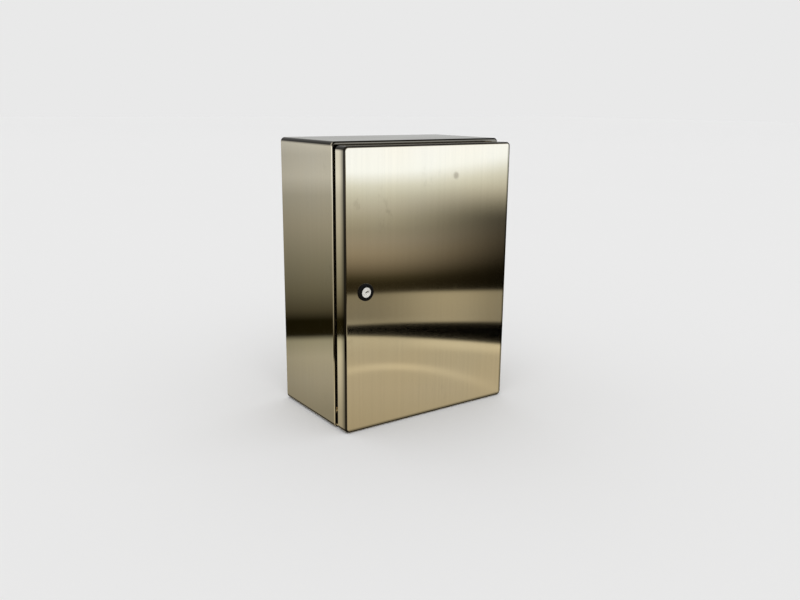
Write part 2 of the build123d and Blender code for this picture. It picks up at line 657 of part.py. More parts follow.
def hinge_fasteners():
    """The screws of the body leaves, and the studs and nuts of the door leaves."""
    studs, nuts = [], []
    foot_front = FLANGE_Y - HINGE_LEAF_SHEET
    shank = HINGE_LEAF_SHEET + BODY_SHEET + 3.0
    screws = [
        slotted_screw_y(
            x, z, foot_front, HINGE_SCREW_HEAD_RADIUS, HINGE_SCREW_HEAD, HINGE_SCREW_RADIUS, shank
        )
        for x, z in hinge_screw_places()
    ]
    base_back = DOOR_INNER_Y + HINGE_LEAF_SHEET
    nut_back = base_back + HINGE_NUT_THICKNESS
    stud_x = HINGE_X - HINGE_STUD_X
    for z in HINGE_Z.values():
        for side in (-1, 1):
            stud_z = z + side * HINGE_STUD_HALF
            studs.append(rod_y(stud_x, stud_z, DOOR_INNER_Y, nut_back + 1.5, HINGE_SCREW_RADIUS))
            nut = hex_y(stud_x, stud_z, base_back, nut_back, HINGE_NUT_FLATS)
            bore = rod_y(stud_x, stud_z, base_back, nut_back, HINGE_SCREW_RADIUS + THREAD_FIT)
            nuts.append(nut - bore)
    return {
        "hinge_body_screws": Compound(screws),
        "hinge_door_studs": Compound(studs),
        "hinge_door_nuts": Compound(nuts),
    }


# ---------------------------------------------------------------- earth studs
EARTH_STUD_FROM_WALL = 20.0
DOOR_EARTH_X = -60.0
DOOR_EARTH_Z = 70.0
EARTH_WASHER_RADIUS = 6.2
EARTH_WASHER_THICKNESS = 1.6
EARTH_NUT_FLATS = 10.0
EARTH_NUT_THICKNESS = 5.0


def body_earth():
    """The protective earth stud on the base, then its washer and nut."""
    x, y = EARTH_STUD_FROM_WALL - WIDTH / 2, GLAND_Y
    washer_low = BODY_SHEET + 4.0
    nut_low = washer_low + EARTH_WASHER_THICKNESS
    nut_high = nut_low + EARTH_NUT_THICKNESS
    stud = rod_z(x, y, BODY_SHEET, BODY_SHEET + EARTH_STUD_LENGTH, EARTH_STUD_RADIUS)
    stud += rod_z(x, y, BODY_SHEET, washer_low, EARTH_STUD_RADIUS + 1.5)
    bore = rod_z(x, y, washer_low, nut_high, EARTH_STUD_RADIUS + THREAD_FIT)
    washer = rod_z(x, y, washer_low, nut_low, EARTH_WASHER_RADIUS) - bore
    nut = hex_z(x, y, nut_low, nut_high, EARTH_NUT_FLATS) - bore
    return stud, Compound([washer, nut])


def door_earth():
    """The door's earth stud, then its washer and nut."""
    x, z = DOOR_EARTH_X, DOOR_EARTH_Z
    washer_front = DOOR_INNER_Y + 4.0
    nut_front = washer_front + EARTH_WASHER_THICKNESS
    nut_back = nut_front + EARTH_NUT_THICKNESS
    stud = rod_y(x, z, DOOR_INNER_Y, DOOR_INNER_Y + DOOR_EARTH_STUD_LENGTH, EARTH_STUD_RADIUS)
    stud += rod_y(x, z, DOOR_INNER_Y, washer_front, EARTH_STUD_RADIUS + 1.5)
    bore = rod_y(x, z, washer_front, nut_back, EARTH_STUD_RADIUS + THREAD_FIT)
    washer = rod_y(x, z, washer_front, nut_front, EARTH_WASHER_RADIUS) - bore
    nut = hex_y(x, z, nut_front, nut_back, EARTH_NUT_FLATS) - bore
    return stud, Compound([washer, nut])


# ---------------------------------------------------------------- modular switchgear
CASE_BACK = 4.5  # case behind the rail's front plane
HOOK = 1.2  # case's hooks behind the rail's lips
RAIL_PLAY = 0.3
SHOULDER_EDGE = 1.5
WIRE_HOLE = 8.0
WIRE_HOLE_DEPTH = 34.0  # rail plane to the wire entry's middle
WIRE_HOLE_LENGTH = 9.0
CLAMP_SCREW_RADIUS = 2.6
CLAMP_SCREW_HEIGHT = 33.0  # row's middle to the terminal screws
CLAMP_SCREW_POCKET = 7.0
CLAMP_SCREW_SUNK = 3.0
POLE_GROOVE = 0.5
BUTTON_RADIUS = 3.2
BUTTON_TRAVEL = 1.5
BUTTON_PROUD = 2.2
BUTTON_LENGTH = 7.0
BUTTON_ABOVE = 12.0

# Devices from left to right: name, poles, then the lever's width and its place, in modules
DEVICES = [
    ("main_switch", 3, 1.5, 0.0),
    ("rcd", 4, 0.7, 1.0),
    ("three_pole_breaker", 3, 2.5, 0.0),
    ("breaker_1", 1, 0.46, 0.0),
    ("breaker_2", 1, 0.46, 0.0),
    ("breaker_3", 1, 0.46, 0.0),
]
DEVICE_ROW = sum(poles for _, poles, _, _ in DEVICES) * MODULE
RAIL_LENGTH = DEVICE_ROW + 2 * (CLAMP_WIDTH + RAIL_SPARE)


def device_places():
    """Each device's name, poles, lever width, lever's x and case's x range."""
    x = -DEVICE_ROW / 2
    places = []
    for name, poles, lever_modules, lever_shift in DEVICES:
        x0, x1 = x + MODULE_GAP / 2, x + poles * MODULE - MODULE_GAP / 2
        lever_x = (x0 + x1) / 2 + lever_shift * MODULE
        places.append((name, poles, lever_modules * MODULE, lever_x, x0, x1))
        x += poles * MODULE
    return places


def pole_middles(poles, x0):
    """The x of each pole's middle in a case that starts at x0."""
    return [x0 - MODULE_GAP / 2 + (i + 0.5) * MODULE for i in range(poles)]


def rail_seat(z, height, back, hook_height):
    """The outline points behind a case, from top to bottom, with its hooks on the rail's lips."""
    top, bottom = z + height / 2, z - height / 2
    lip = RAIL_HEIGHT / 2
    points = [(RAIL_Y + back, top)]
    for side in (1, -1):
        clear = z + side * (lip + RAIL_PLAY)
        hook = z + side * (lip - hook_height)
        behind = RAIL_Y + RAIL_SHEET + RAIL_PLAY
        run = [
            (RAIL_Y + back, clear + side * 1.5),
            (RAIL_Y + behind - RAIL_Y + HOOK, clear),
            (RAIL_Y + behind - RAIL_Y + HOOK, hook),
            (RAIL_Y + behind - RAIL_Y, hook),
            (RAIL_Y + behind - RAIL_Y, clear),
            (RAIL_Y - RAIL_PLAY, clear),
        ]
        points += run if side == 1 else run[::-1]
    points.append((RAIL_Y + back, bottom))
    return points


def device_case(poles, lever_width, lever_x, x0, x1, z):
    """A modular case on the rail, with its wire entries, screw wells and lever slot."""
    top, bottom = z + CASE_HEIGHT / 2, z - CASE_HEIGHT / 2
    nose = CASE_NOSE_HEIGHT / 2
    shoulder_y = RAIL_Y - CASE_SHOULDER_DEPTH
    nose_y = RAIL_Y - CASE_NOSE_DEPTH
    outline = rail_seat(z, CASE_HEIGHT, CASE_BACK, 1.5)
    outline += [
        (shoulder_y + SHOULDER_EDGE, bottom),
        (shoulder_y, bottom + SHOULDER_EDGE),
        (shoulder_y, z - nose),
        (nose_y + SHOULDER_EDGE, z - nose),
        (nose_y, z - nose + SHOULDER_EDGE),
        (nose_y, z + nose - SHOULDER_EDGE),
        (nose_y + SHOULDER_EDGE, z + nose),
        (shoulder_y, z + nose),
        (shoulder_y, top - SHOULDER_EDGE),
        (shoulder_y + SHOULDER_EDGE, top),
    ]
    case = prism_x(outline, x0, x1)
    middles = pole_middles(poles, x0)
    half = WIRE_HOLE / 2
    wire_y = RAIL_Y - WIRE_HOLE_DEPTH
    cuts = []
    for x in middles:
        for side in (-1, 1):
            end = z + side * CASE_HEIGHT / 2
            inner = end - side * WIRE_HOLE_LENGTH
            low, high = sorted((end, inner))
            cuts.append(block(x - half, x + half, wire_y - half, wire_y + half, low, high))
            well_z = z + side * CLAMP_SCREW_HEIGHT
            cuts.append(
                rod_y(x, well_z, shoulder_y, shoulder_y + CLAMP_SCREW_POCKET, CLAMP_SCREW_RADIUS + 0.5)
            )
    for x in middles[1:]:
        edge = x - MODULE / 2
        groove = POLE_GROOVE / 2
        cuts.append(
            block(edge - groove, edge + groove, shoulder_y, shoulder_y + POLE_GROOVE, bottom, z - nose)
        )
        cuts.append(
            block(edge - groove, edge + groove, shoulder_y, shoulder_y + POLE_GROOVE, z + nose, top)
        )
    slot = lever_width / 2 + LEVER_PLAY
    hub_y = RAIL_Y - LEVER_HUB_DEPTH
    well = LEVER_HUB_RADIUS + LEVER_PLAY
    cuts.append(rod_x(hub_y, z, lever_x - slot, lever_x + slot, well))
    cuts.append(block(lever_x - slot, lever_x + slot, nose_y, hub_y, z - well, z + well))
    for cut in cuts:
        case -= cut
    return case


def device_lever(lever_width, lever_x, z):
    """A toggle lever, down in the off position, with its hub across the slot."""
    hub_y = RAIL_Y - LEVER_HUB_DEPTH
    half = lever_width / 2
    hub = Rot(0, 90, 0) * Cylinder(LEVER_HUB_RADIUS, lever_width)
    root, tip = LEVER_THICKNESS / 2 + 0.8, LEVER_THICKNESS / 2 - 0.4
    handle = prism_x([(0, -root), (0, root), (-LEVER_REACH, tip), (-LEVER_REACH, -tip)], -half, half)
    tip_edges = handle.edges().group_by(Axis.Y)[0]
    handle = fillet([e for e in tip_edges if e.bounding_box().size.X > half], 1.2)
    turned = Rot(LEVER_HALF_THROW, 0, 0) * (hub + handle)
    return Pos(lever_x, hub_y, z) * turned


def rcd_button_place():
    """The x and z of the residual current device's test button."""
    _, poles, _, lever_x, x0, _ = next(p for p in device_places() if p[0] == "rcd")
    return pole_middles(poles, x0)[0] + MODULE * 0.3, ROW_Z["upper"] + BUTTON_ABOVE * 0.5


def switchgear():
    """The row of modular devices: cases, levers, the test button and the clamp screws."""
    z = ROW_Z["upper"]
    nose_y = RAIL_Y - CASE_NOSE_DEPTH
    shoulder_y = RAIL_Y - CASE_SHOULDER_DEPTH
    parts, screws = {}, []
    for name, poles, lever_width, lever_x, x0, x1 in device_places():
        parts[f"{name}_case"] = device_case(poles, lever_width, lever_x, x0, x1, z)
        parts[f"{name}_lever"] = device_lever(lever_width, lever_x, z)
        for x in pole_middles(poles, x0):
            for side in (-1, 1):
                screws.append(clamp_screw(x, z + side * CLAMP_SCREW_HEIGHT, shoulder_y))
    x, button_z = rcd_button_place()
    hole = rod_y(x, button_z, nose_y, nose_y + BUTTON_LENGTH, BUTTON_RADIUS + PIN_FIT)
    parts["rcd_case"] -= hole
    button_end = nose_y + BUTTON_LENGTH - BUTTON_TRAVEL - RAIL_PLAY
    button = rod_y(x, button_z, nose_y - BUTTON_PROUD, button_end, BUTTON_RADIUS)
    parts["rcd_test_button"] = fillet(front_edges(button), 0.6)
    parts["clamp_screws"] = Compound(screws)
    return parts


def clamp_screw(x, z, shoulder_y):
    """A slotted clamp screw at the bottom of its well."""
    front = shoulder_y + CLAMP_SCREW_SUNK
    end = shoulder_y + CLAMP_SCREW_POCKET
    screw = rod_y(x, z, front, end, CLAMP_SCREW_RADIUS)
    slot = Box(2 * CLAMP_SCREW_RADIUS, 2.0, 0.8)
    return screw - Pos(x, front, z) * slot


def comb_busbar():
    """The copper comb below the single-pole breakers, which links their lower clamps."""
    z = ROW_Z["upper"] - CASE_HEIGHT / 2
    y = RAIL_Y - WIRE_HOLE_DEPTH
    singles = [p for p in device_places() if p[0].startswith("breaker_")]
    middles = [pole_middles(1, p[4])[0] for p in singles]
    comb = block(middles[0] - 6.0, middles[-1] + 6.0, y - 1.0, y + 1.0, z - 12.0, z - 4.0)
    for x in middles:
        comb += block(x - 2.0, x + 2.0, y - 1.0, y + 1.0, z - 4.5, z + WIRE_HOLE_LENGTH)
    return comb


def comb_cover():
    """The insulating strip round the comb's back bone."""
    z = ROW_Z["upper"] - CASE_HEIGHT / 2
    y = RAIL_Y - WIRE_HOLE_DEPTH
    singles = [p for p in device_places() if p[0].startswith("breaker_")]
    middles = [pole_middles(1, p[4])[0] for p in singles]
    x0, x1 = middles[0] - 8.0, middles[-1] + 8.0
    cover = block(x0, x1, y - 2.6, y + 2.6, z - 13.8, z - 5.0)
    slot = block(middles[0] - 6.2, middles[-1] + 6.2, y - 1.2, y + 1.2, z - 12.0, z - 5.0)
    return cover - slot


# ---------------------------------------------------------------- terminals and bars
def terminal_block(x0, x1, z):
    """One feed-through terminal on the lower rail."""
    top, bottom = z + TERMINAL_HEIGHT / 2, z - TERMINAL_HEIGHT / 2
    front = RAIL_Y - TERMINAL_DEPTH
    step = front + 14.0
    outline = rail_seat(z, TERMINAL_HEIGHT, CASE_BACK, 1.2)
    outline += [
        (step, bottom),
        (step - 4.0, bottom + 4.0),
        (front + 5.0, bottom + 5.0),
        (front, bottom + 9.0),
        (front, z - 5.0),
        (front + 6.0, z - 4.0),
        (front + 6.0, z + 4.0),
        (front, z + 5.0),
        (front, top - 9.0),
        (front + 5.0, top - 5.0),
        (step - 4.0, top - 4.0),
        (step, top),
    ]
    body = prism_x(outline, x0, x1)
    x = (x0 + x1) / 2
    for side in (-1, 1):
        body -= rod_y(x, z + side * 9.0, front, front + 8.0, 2.2)
        end = z + side * TERMINAL_HEIGHT / 2
        low, high = sorted((end, end - side * 10.0))
        body -= block(x - 2.6, x + 2.6, step + 3.0, step + 9.0, low, high)
    return body


def end_clamp(x0, x1, z):
    """A clamp that stops a row of devices from sliding along the rail."""
    height, depth = 46.0, 34.0
    front = RAIL_Y - depth
    outline = rail_seat(z, height, CASE_BACK, 1.2)
    outline += [
        (front + 12.0, z - height / 2),
        (front, z - height / 2 + 10.0),
        (front, z + height / 2 - 10.0),
        (front + 12.0, z + height / 2),
    ]
    clamp = prism_x(outline, x0, x1)
    x = (x0 + x1) / 2
    return clamp - rod_y(x, z, front, front + 5.0, 3.2)


def terminal_parts():
    """The row of terminals, and the end clamps of both rails."""
    z = ROW_Z["lower"]
    row = TERMINAL_COUNT * TERMINAL_WIDTH
    blocks = []
    for x in spread(TERMINAL_COUNT, TERMINAL_WIDTH):
        half = (TERMINAL_WIDTH - MODULE_GAP) / 2
        blocks.append(terminal_block(x - half, x + half, z))
    devices = device_places()
    ends = [(row / 2, z), (devices[-1][5], ROW_Z["upper"])]
    clamps = []
    for edge, row_z in ends:
        start = edge + MODULE_GAP
        clamps.append(end_clamp(start, start + CLAMP_WIDTH, row_z))
        clamps.append(end_clamp(-start - CLAMP_WIDTH, -start, row_z))
    return {"terminal_blocks": Compound(blocks), "end_clamps": Compound(clamps)}


def bar_parts():
    """The neutral bar and the earth bar, with their supports and clamp screws."""
    z = BAR_ABOVE_BASE
    half = BAR_SECTION / 2
    support_front = PLATE_Y - BAR_SUPPORT_DEPTH
    bar_front = support_front - BAR_SECTION
    bar_middle_y = support_front - half
    parts, screws = {}, []
    for name, x in (("neutral_bar", -BAR_MIDDLE_OFFSET), ("earth_bar", BAR_MIDDLE_OFFSET)):
        bar = block(
            x - BAR_LENGTH / 2, x + BAR_LENGTH / 2, bar_front, support_front, z - half, z + half
        )
        for offset in spread(BAR_HOLES, BAR_LENGTH / (BAR_HOLES + 1)):
            place = x + offset
            bar -= rod_z(place, bar_middle_y + 1.0, z - half, z + half, 2.4)
            bar -= rod_y(place, z, bar_front, bar_middle_y, 1.9 + THREAD_FIT)
            screws.append(bar_screw(place, z, bar_front))
        parts[name] = bar
        supports = []
        for side in (-1, 1):
            middle = x + side * (BAR_LENGTH / 2 - BAR_SUPPORT_WIDTH / 2)
            supports.append(bar_support(middle, z, support_front))
        parts[f"{name}_supports"] = Compound(supports)
    parts["bar_screws"] = Compound(screws)
    return parts


def bar_screw(x, z, bar_front):
    """A slotted clamp screw that stands half out of a bar."""
    screw = rod_y(x, z, bar_front - 2.4, bar_front, 2.8)
    screw += rod_y(x, z, bar_front, bar_front + 2.0, 1.9)
    return screw - Pos(x, bar_front - 2.4, z) * Box(5.6, 1.6, 0.8)


def bar_support(x, z, front):
    """An insulating foot between the mounting plate and a bar."""
    half = BAR_SUPPORT_WIDTH / 2
    tall = BAR_SECTION / 2 + 5.0
    foot = block(x - half, x + half, front, PLATE_Y, z - tall, z + tall)
    notch = tall - BAR_SECTION / 2
    for side in (-1, 1):
        low, high = sorted((z + side * tall, z + side * (tall - notch)))
        foot -= block(x - half, x + half, front, PLATE_Y - 5.0, low, high)
    return foot


# ---------------------------------------------------------------- assembly
def build():
    """Every node of the cabinet, by name."""
    parts = {
        "enclosure_body": enclosure_body(),
        "rear_panel": rear_panel(),
        "door_panel": door_panel(),
        "door_seal": door_seal(),
        "door_rail_left": door_rail(-1),
        "door_rail_right": door_rail(1),
        "upper_mounting_rail": mounting_rail(ROW_Z["upper"]),
        "lower_mounting_rail": mounting_rail(ROW_Z["lower"]),
        "rail_screws": rail_screws(),
        "comb_busbar": comb_busbar(),
        "comb_cover": comb_cover(),
    }
    parts["body_earth_stud"], parts["body_earth_nut"] = body_earth()
    parts["door_earth_stud"], parts["door_earth_nut"] = door_earth()
    for name, z in HINGE_Z.items():
        parts[f"{name}_hinge_body_leaf"] = hinge_body_leaf(z)
        parts[f"{name}_hinge_door_leaf"] = hinge_door_leaf(z)
        parts[f"{name}_hinge_pin"] = hinge_pin(z)
    groups = (gland_parts, plate_parts, lock_parts, hinge_fasteners, switchgear)
    for group in groups + (terminal_parts, bar_parts):
        parts.update(group())
    return parts


def main():
    """Writes one STEP file for each node."""
    os.makedirs("parts", exist_ok=True)
    parts = build()
    for name, shape in parts.items():
        export_step(shape, os.path.join("parts", f"{name}.step"))
    print(len(parts), "nodes")


main()
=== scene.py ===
"""Stainless wall cabinet with its switchgear: finishes, moulded and formed detail, light and camera.

Metres, in the cabinet's own frame: +Z is up, +Y points to the wall behind, and the door faces -Y.
"""

import logging
import math
from dataclasses import dataclass
from enum import Enum
from typing import Any, Dict, Iterable, List, Optional, Sequence, Tuple, Union

import bmesh
import bpy
from mathutils import Matrix, Vector, noise


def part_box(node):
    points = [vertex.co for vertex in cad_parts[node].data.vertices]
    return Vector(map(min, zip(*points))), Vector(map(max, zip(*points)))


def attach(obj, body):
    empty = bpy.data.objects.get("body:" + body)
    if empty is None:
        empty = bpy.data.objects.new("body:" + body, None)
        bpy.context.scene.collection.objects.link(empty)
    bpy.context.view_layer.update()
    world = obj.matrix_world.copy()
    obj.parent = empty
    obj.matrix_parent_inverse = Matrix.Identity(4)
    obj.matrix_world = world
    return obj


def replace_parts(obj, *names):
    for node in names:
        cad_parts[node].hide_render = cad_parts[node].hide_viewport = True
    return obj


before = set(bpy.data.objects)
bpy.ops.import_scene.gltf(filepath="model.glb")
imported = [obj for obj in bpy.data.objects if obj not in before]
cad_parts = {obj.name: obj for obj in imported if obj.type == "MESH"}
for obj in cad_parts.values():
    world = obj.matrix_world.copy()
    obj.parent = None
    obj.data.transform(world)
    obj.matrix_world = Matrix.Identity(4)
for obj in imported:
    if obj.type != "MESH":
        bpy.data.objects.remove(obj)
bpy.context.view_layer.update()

LOG = logging.getLogger("cabinet")
MM = 0.001

Colour = Tuple[float, float, float]
Point = Tuple[float, float, float]
Number = Union[float, "Signal"]
Form, Vert, Edge = bmesh.types.BMesh, bmesh.types.BMVert, bmesh.types.BMEdge
Range = Tuple[float, float]

ORIGIN: Point = (0.0, 0.0, 0.0)
UNSCALED: Point = (1.0, 1.0, 1.0)
SHARP_EDGE = math.radians(30.0)  # an edge that turns by more is rounded
ONE_PLANE = math.radians(0.5)  # faces that turn by less are one flat face
SAME_POINT = 1e-6  # vertices of a CAD node this near are one
SAME_SPUN_POINT = 2e-6  # the same for spun and extruded rings
CARD_EDGE, FLAG_EDGE, LATCH_EDGE = 0.12 * MM, 0.08 * MM, 0.25 * MM  # widths of roundings


# ---- shader graphs
class Signal:
    """One output of a shader node, with the arithmetic that finishes are written in."""

    def __init__(self, graph: "Graph", socket: bpy.types.NodeSocket) -> None:
        """Wraps a socket of a graph."""
        self.graph = graph
        self.socket = socket

    def _math(self, operation: str, first: Number, second: Number = 0.0) -> "Signal":
        """A Math node on two numbers."""
        return self.graph.node("ShaderNodeMath", {"operation": operation}, {0: first, 1: second})

    def __add__(self, other: Number) -> "Signal":
        """Sum."""
        return self._math("ADD", self, other)

    def __radd__(self, other: Number) -> "Signal":
        """Sum with a plain number first."""
        return self._math("ADD", other, self)

    def __sub__(self, other: Number) -> "Signal":
        """Difference."""
        return self._math("SUBTRACT", self, other)

    def __rsub__(self, other: Number) -> "Signal":
        """Difference from a plain number."""
        return self._math("SUBTRACT", other, self)

    def __mul__(self, other: Number) -> "Signal":
        """Product."""
        return self._math("MULTIPLY", self, other)

    def __rmul__(self, other: Number) -> "Signal":
        """Product with a plain number first."""
        return self._math("MULTIPLY", other, self)

    def rise(self, low: float, high: float) -> "Signal":
        """Goes smoothly from 0 at low to 1 at high, or from 1 to 0 where high is the smaller.

        Args:
            low: The value that gives 0.
            high: The value that gives 1.

        Returns:
            The smoothed, clipped ratio.
        """
        return self.graph.node(
            "ShaderNodeMapRange",
            {"interpolation_type": "SMOOTHSTEP"},
            {"Value": self, "From Min": low, "From Max": high},
        )


class Graph:
    """A node tree under construction, for a material or for the world."""

    def __init__(self, owner: Union[bpy.types.Material, bpy.types.World]) -> None:
        """Starts an empty tree on its owner."""
        owner.use_nodes = True
        self.tree = owner.node_tree
        self.tree.nodes.clear()

    def node(
        self,
        kind: str,
        settings: Optional[Dict[str, Any]] = None,
        inputs: Optional[Dict[Union[str, int], Any]] = None,
        output: Union[str, int] = 0,
    ) -> Signal:
        """Adds a node.

        Args:
            kind: The node's type.
            settings: Its properties, set first; "stops" are a colour ramp's places and colours.
            inputs: Values or links for its sockets, by name or number.
            output: The output to return.

        Returns:
            The chosen output.
        """
        made = self.tree.nodes.new(kind)
        for name, value in (settings or {}).items():
            if name == "stops":
                self._set_stops(made.color_ramp, value)
            else:
                setattr(made, name, value)
        for key, value in (inputs or {}).items():
            self._feed(made.inputs[key], value)
        return Signal(self, made.outputs[output] if len(made.outputs) else None)

    @staticmethod
    def _set_stops(ramp: bpy.types.ColorRamp, stops: Sequence[Tuple[float, Colour]]) -> None:
        """Gives a ramp its stops.

        Args:
            ramp: The ramp.
            stops: Their places and colours.
        """
        while len(ramp.elements) < len(stops):
            ramp.elements.new(1.0)
        for element, (place, colour) in zip(ramp.elements, stops):
            element.position = place
            element.color = (*colour, 1.0)

    def _feed(self, socket: bpy.types.NodeSocket, value: Any) -> None:
        """Sets or links a socket.

        Args:
            socket: The socket.
            value: Its value, or the output to link.
        """
        if isinstance(value, Signal):
            self.tree.links.new(value.socket, socket)
        elif socket.type == "RGBA" and len(value) == 3:
            socket.default_value = (*value, 1.0)
        else:
            socket.default_value = value

    def place(self, scale: Point = UNSCALED, centre: Point = ORIGIN, turn: Point = ORIGIN) -> Signal:
        """Object coordinates, moved to a centre, turned and then scaled.

        Args:
            scale: The factor along each axis.
            centre: The point that becomes the origin, in metres.
            turn: The rotation, in radians.

        Returns:
            The mapped coordinates.
        """
        raw = self.node("ShaderNodeTexCoord", output="Object")
        moved = self.node("ShaderNodeVectorMath", {"operation": "SUBTRACT"}, {0: raw, 1: centre})
        return self.node("ShaderNodeMapping", None, {"Vector": moved, "Scale": scale, "Rotation": turn})

    def axis(self, vector: Signal, name: str) -> Signal:
        """One component of a vector."""
        return self.node("ShaderNodeSeparateXYZ", None, {0: vector}, name)

    def along(self, name: str) -> Signal:
        """One Object coordinate, in metres."""
        return self.axis(self.place(), name)

    def noise(self, vector: Signal, scale: float, detail: float = 2.0, rough: float = 0.5) -> Signal:
        """A noise pattern from 0 to 1."""
        sockets = {"Vector": vector, "Scale": scale, "Detail": detail, "Roughness": rough}
        return self.node("ShaderNodeTexNoise", None, sockets)

    def blend(self, factor: Number, low: Any, high: Any) -> Signal:
        """Mixes two colours by a factor."""
        return self.node("ShaderNodeMix", {"data_type": "RGBA"}, {0: factor, 6: low, 7: high}, 2)

    def shade(self, colour: Any, factor: Signal) -> Signal:
        """A colour scaled by a number."""
        return self.node("ShaderNodeVectorMath", {"operation": "SCALE"}, {0: colour, "Scale": factor})

    def bump(self, height: Signal) -> Signal:
        """A normal from a height in metres."""
        return self.node("ShaderNodeBump", None, {"Height": height, "Distance": 1.0, "Strength": 1.0})

    def facing(self, name: str) -> Signal:
        """How far the surface faces along an axis, from 0 to 1, either way."""
        part = self.normal(name)
        return part * part

    def normal(self, name: str) -> Signal:
        """One component of the surface's normal."""
        return self.axis(self.node("ShaderNodeNewGeometry", output="Normal"), name)

    def surface(self, sockets: Dict[str, Any]) -> None:
        """Ends the tree in a Principled shader with these sockets."""
        shader = self.node("ShaderNodeBsdfPrincipled", None, sockets)
        self.node("ShaderNodeOutputMaterial", None, {"Surface": shader})


# ---- finishes
class MetalGrain(Enum):
    """How a bare or plated metal surface was worked."""

    DRAWN_ALONG = "drawn along its length"
    SPANGLED = "dipped in zinc"
    PLATED = "barrel plated"
    TURNED = "turned"


class Finish:
    """A finish that builds its material once, when it is first used."""

    _built: Dict[str, bpy.types.Material] = {}
    name: str
    slot: str = ""  # the record's material slot, for a finish that new pieces wear

    def material(self) -> bpy.types.Material:
        """Makes the finish's material, the first time.

        Returns:
            The material.
        """
        if self.name not in Finish._built:
            made = bpy.data.materials.new(self.name)
            self.dress(Graph(made))
            Finish._built[self.name] = made
        return Finish._built[self.name]

    def dress(self, graph: Graph) -> None:
        """Fills the material's graph."""
        raise NotImplementedError


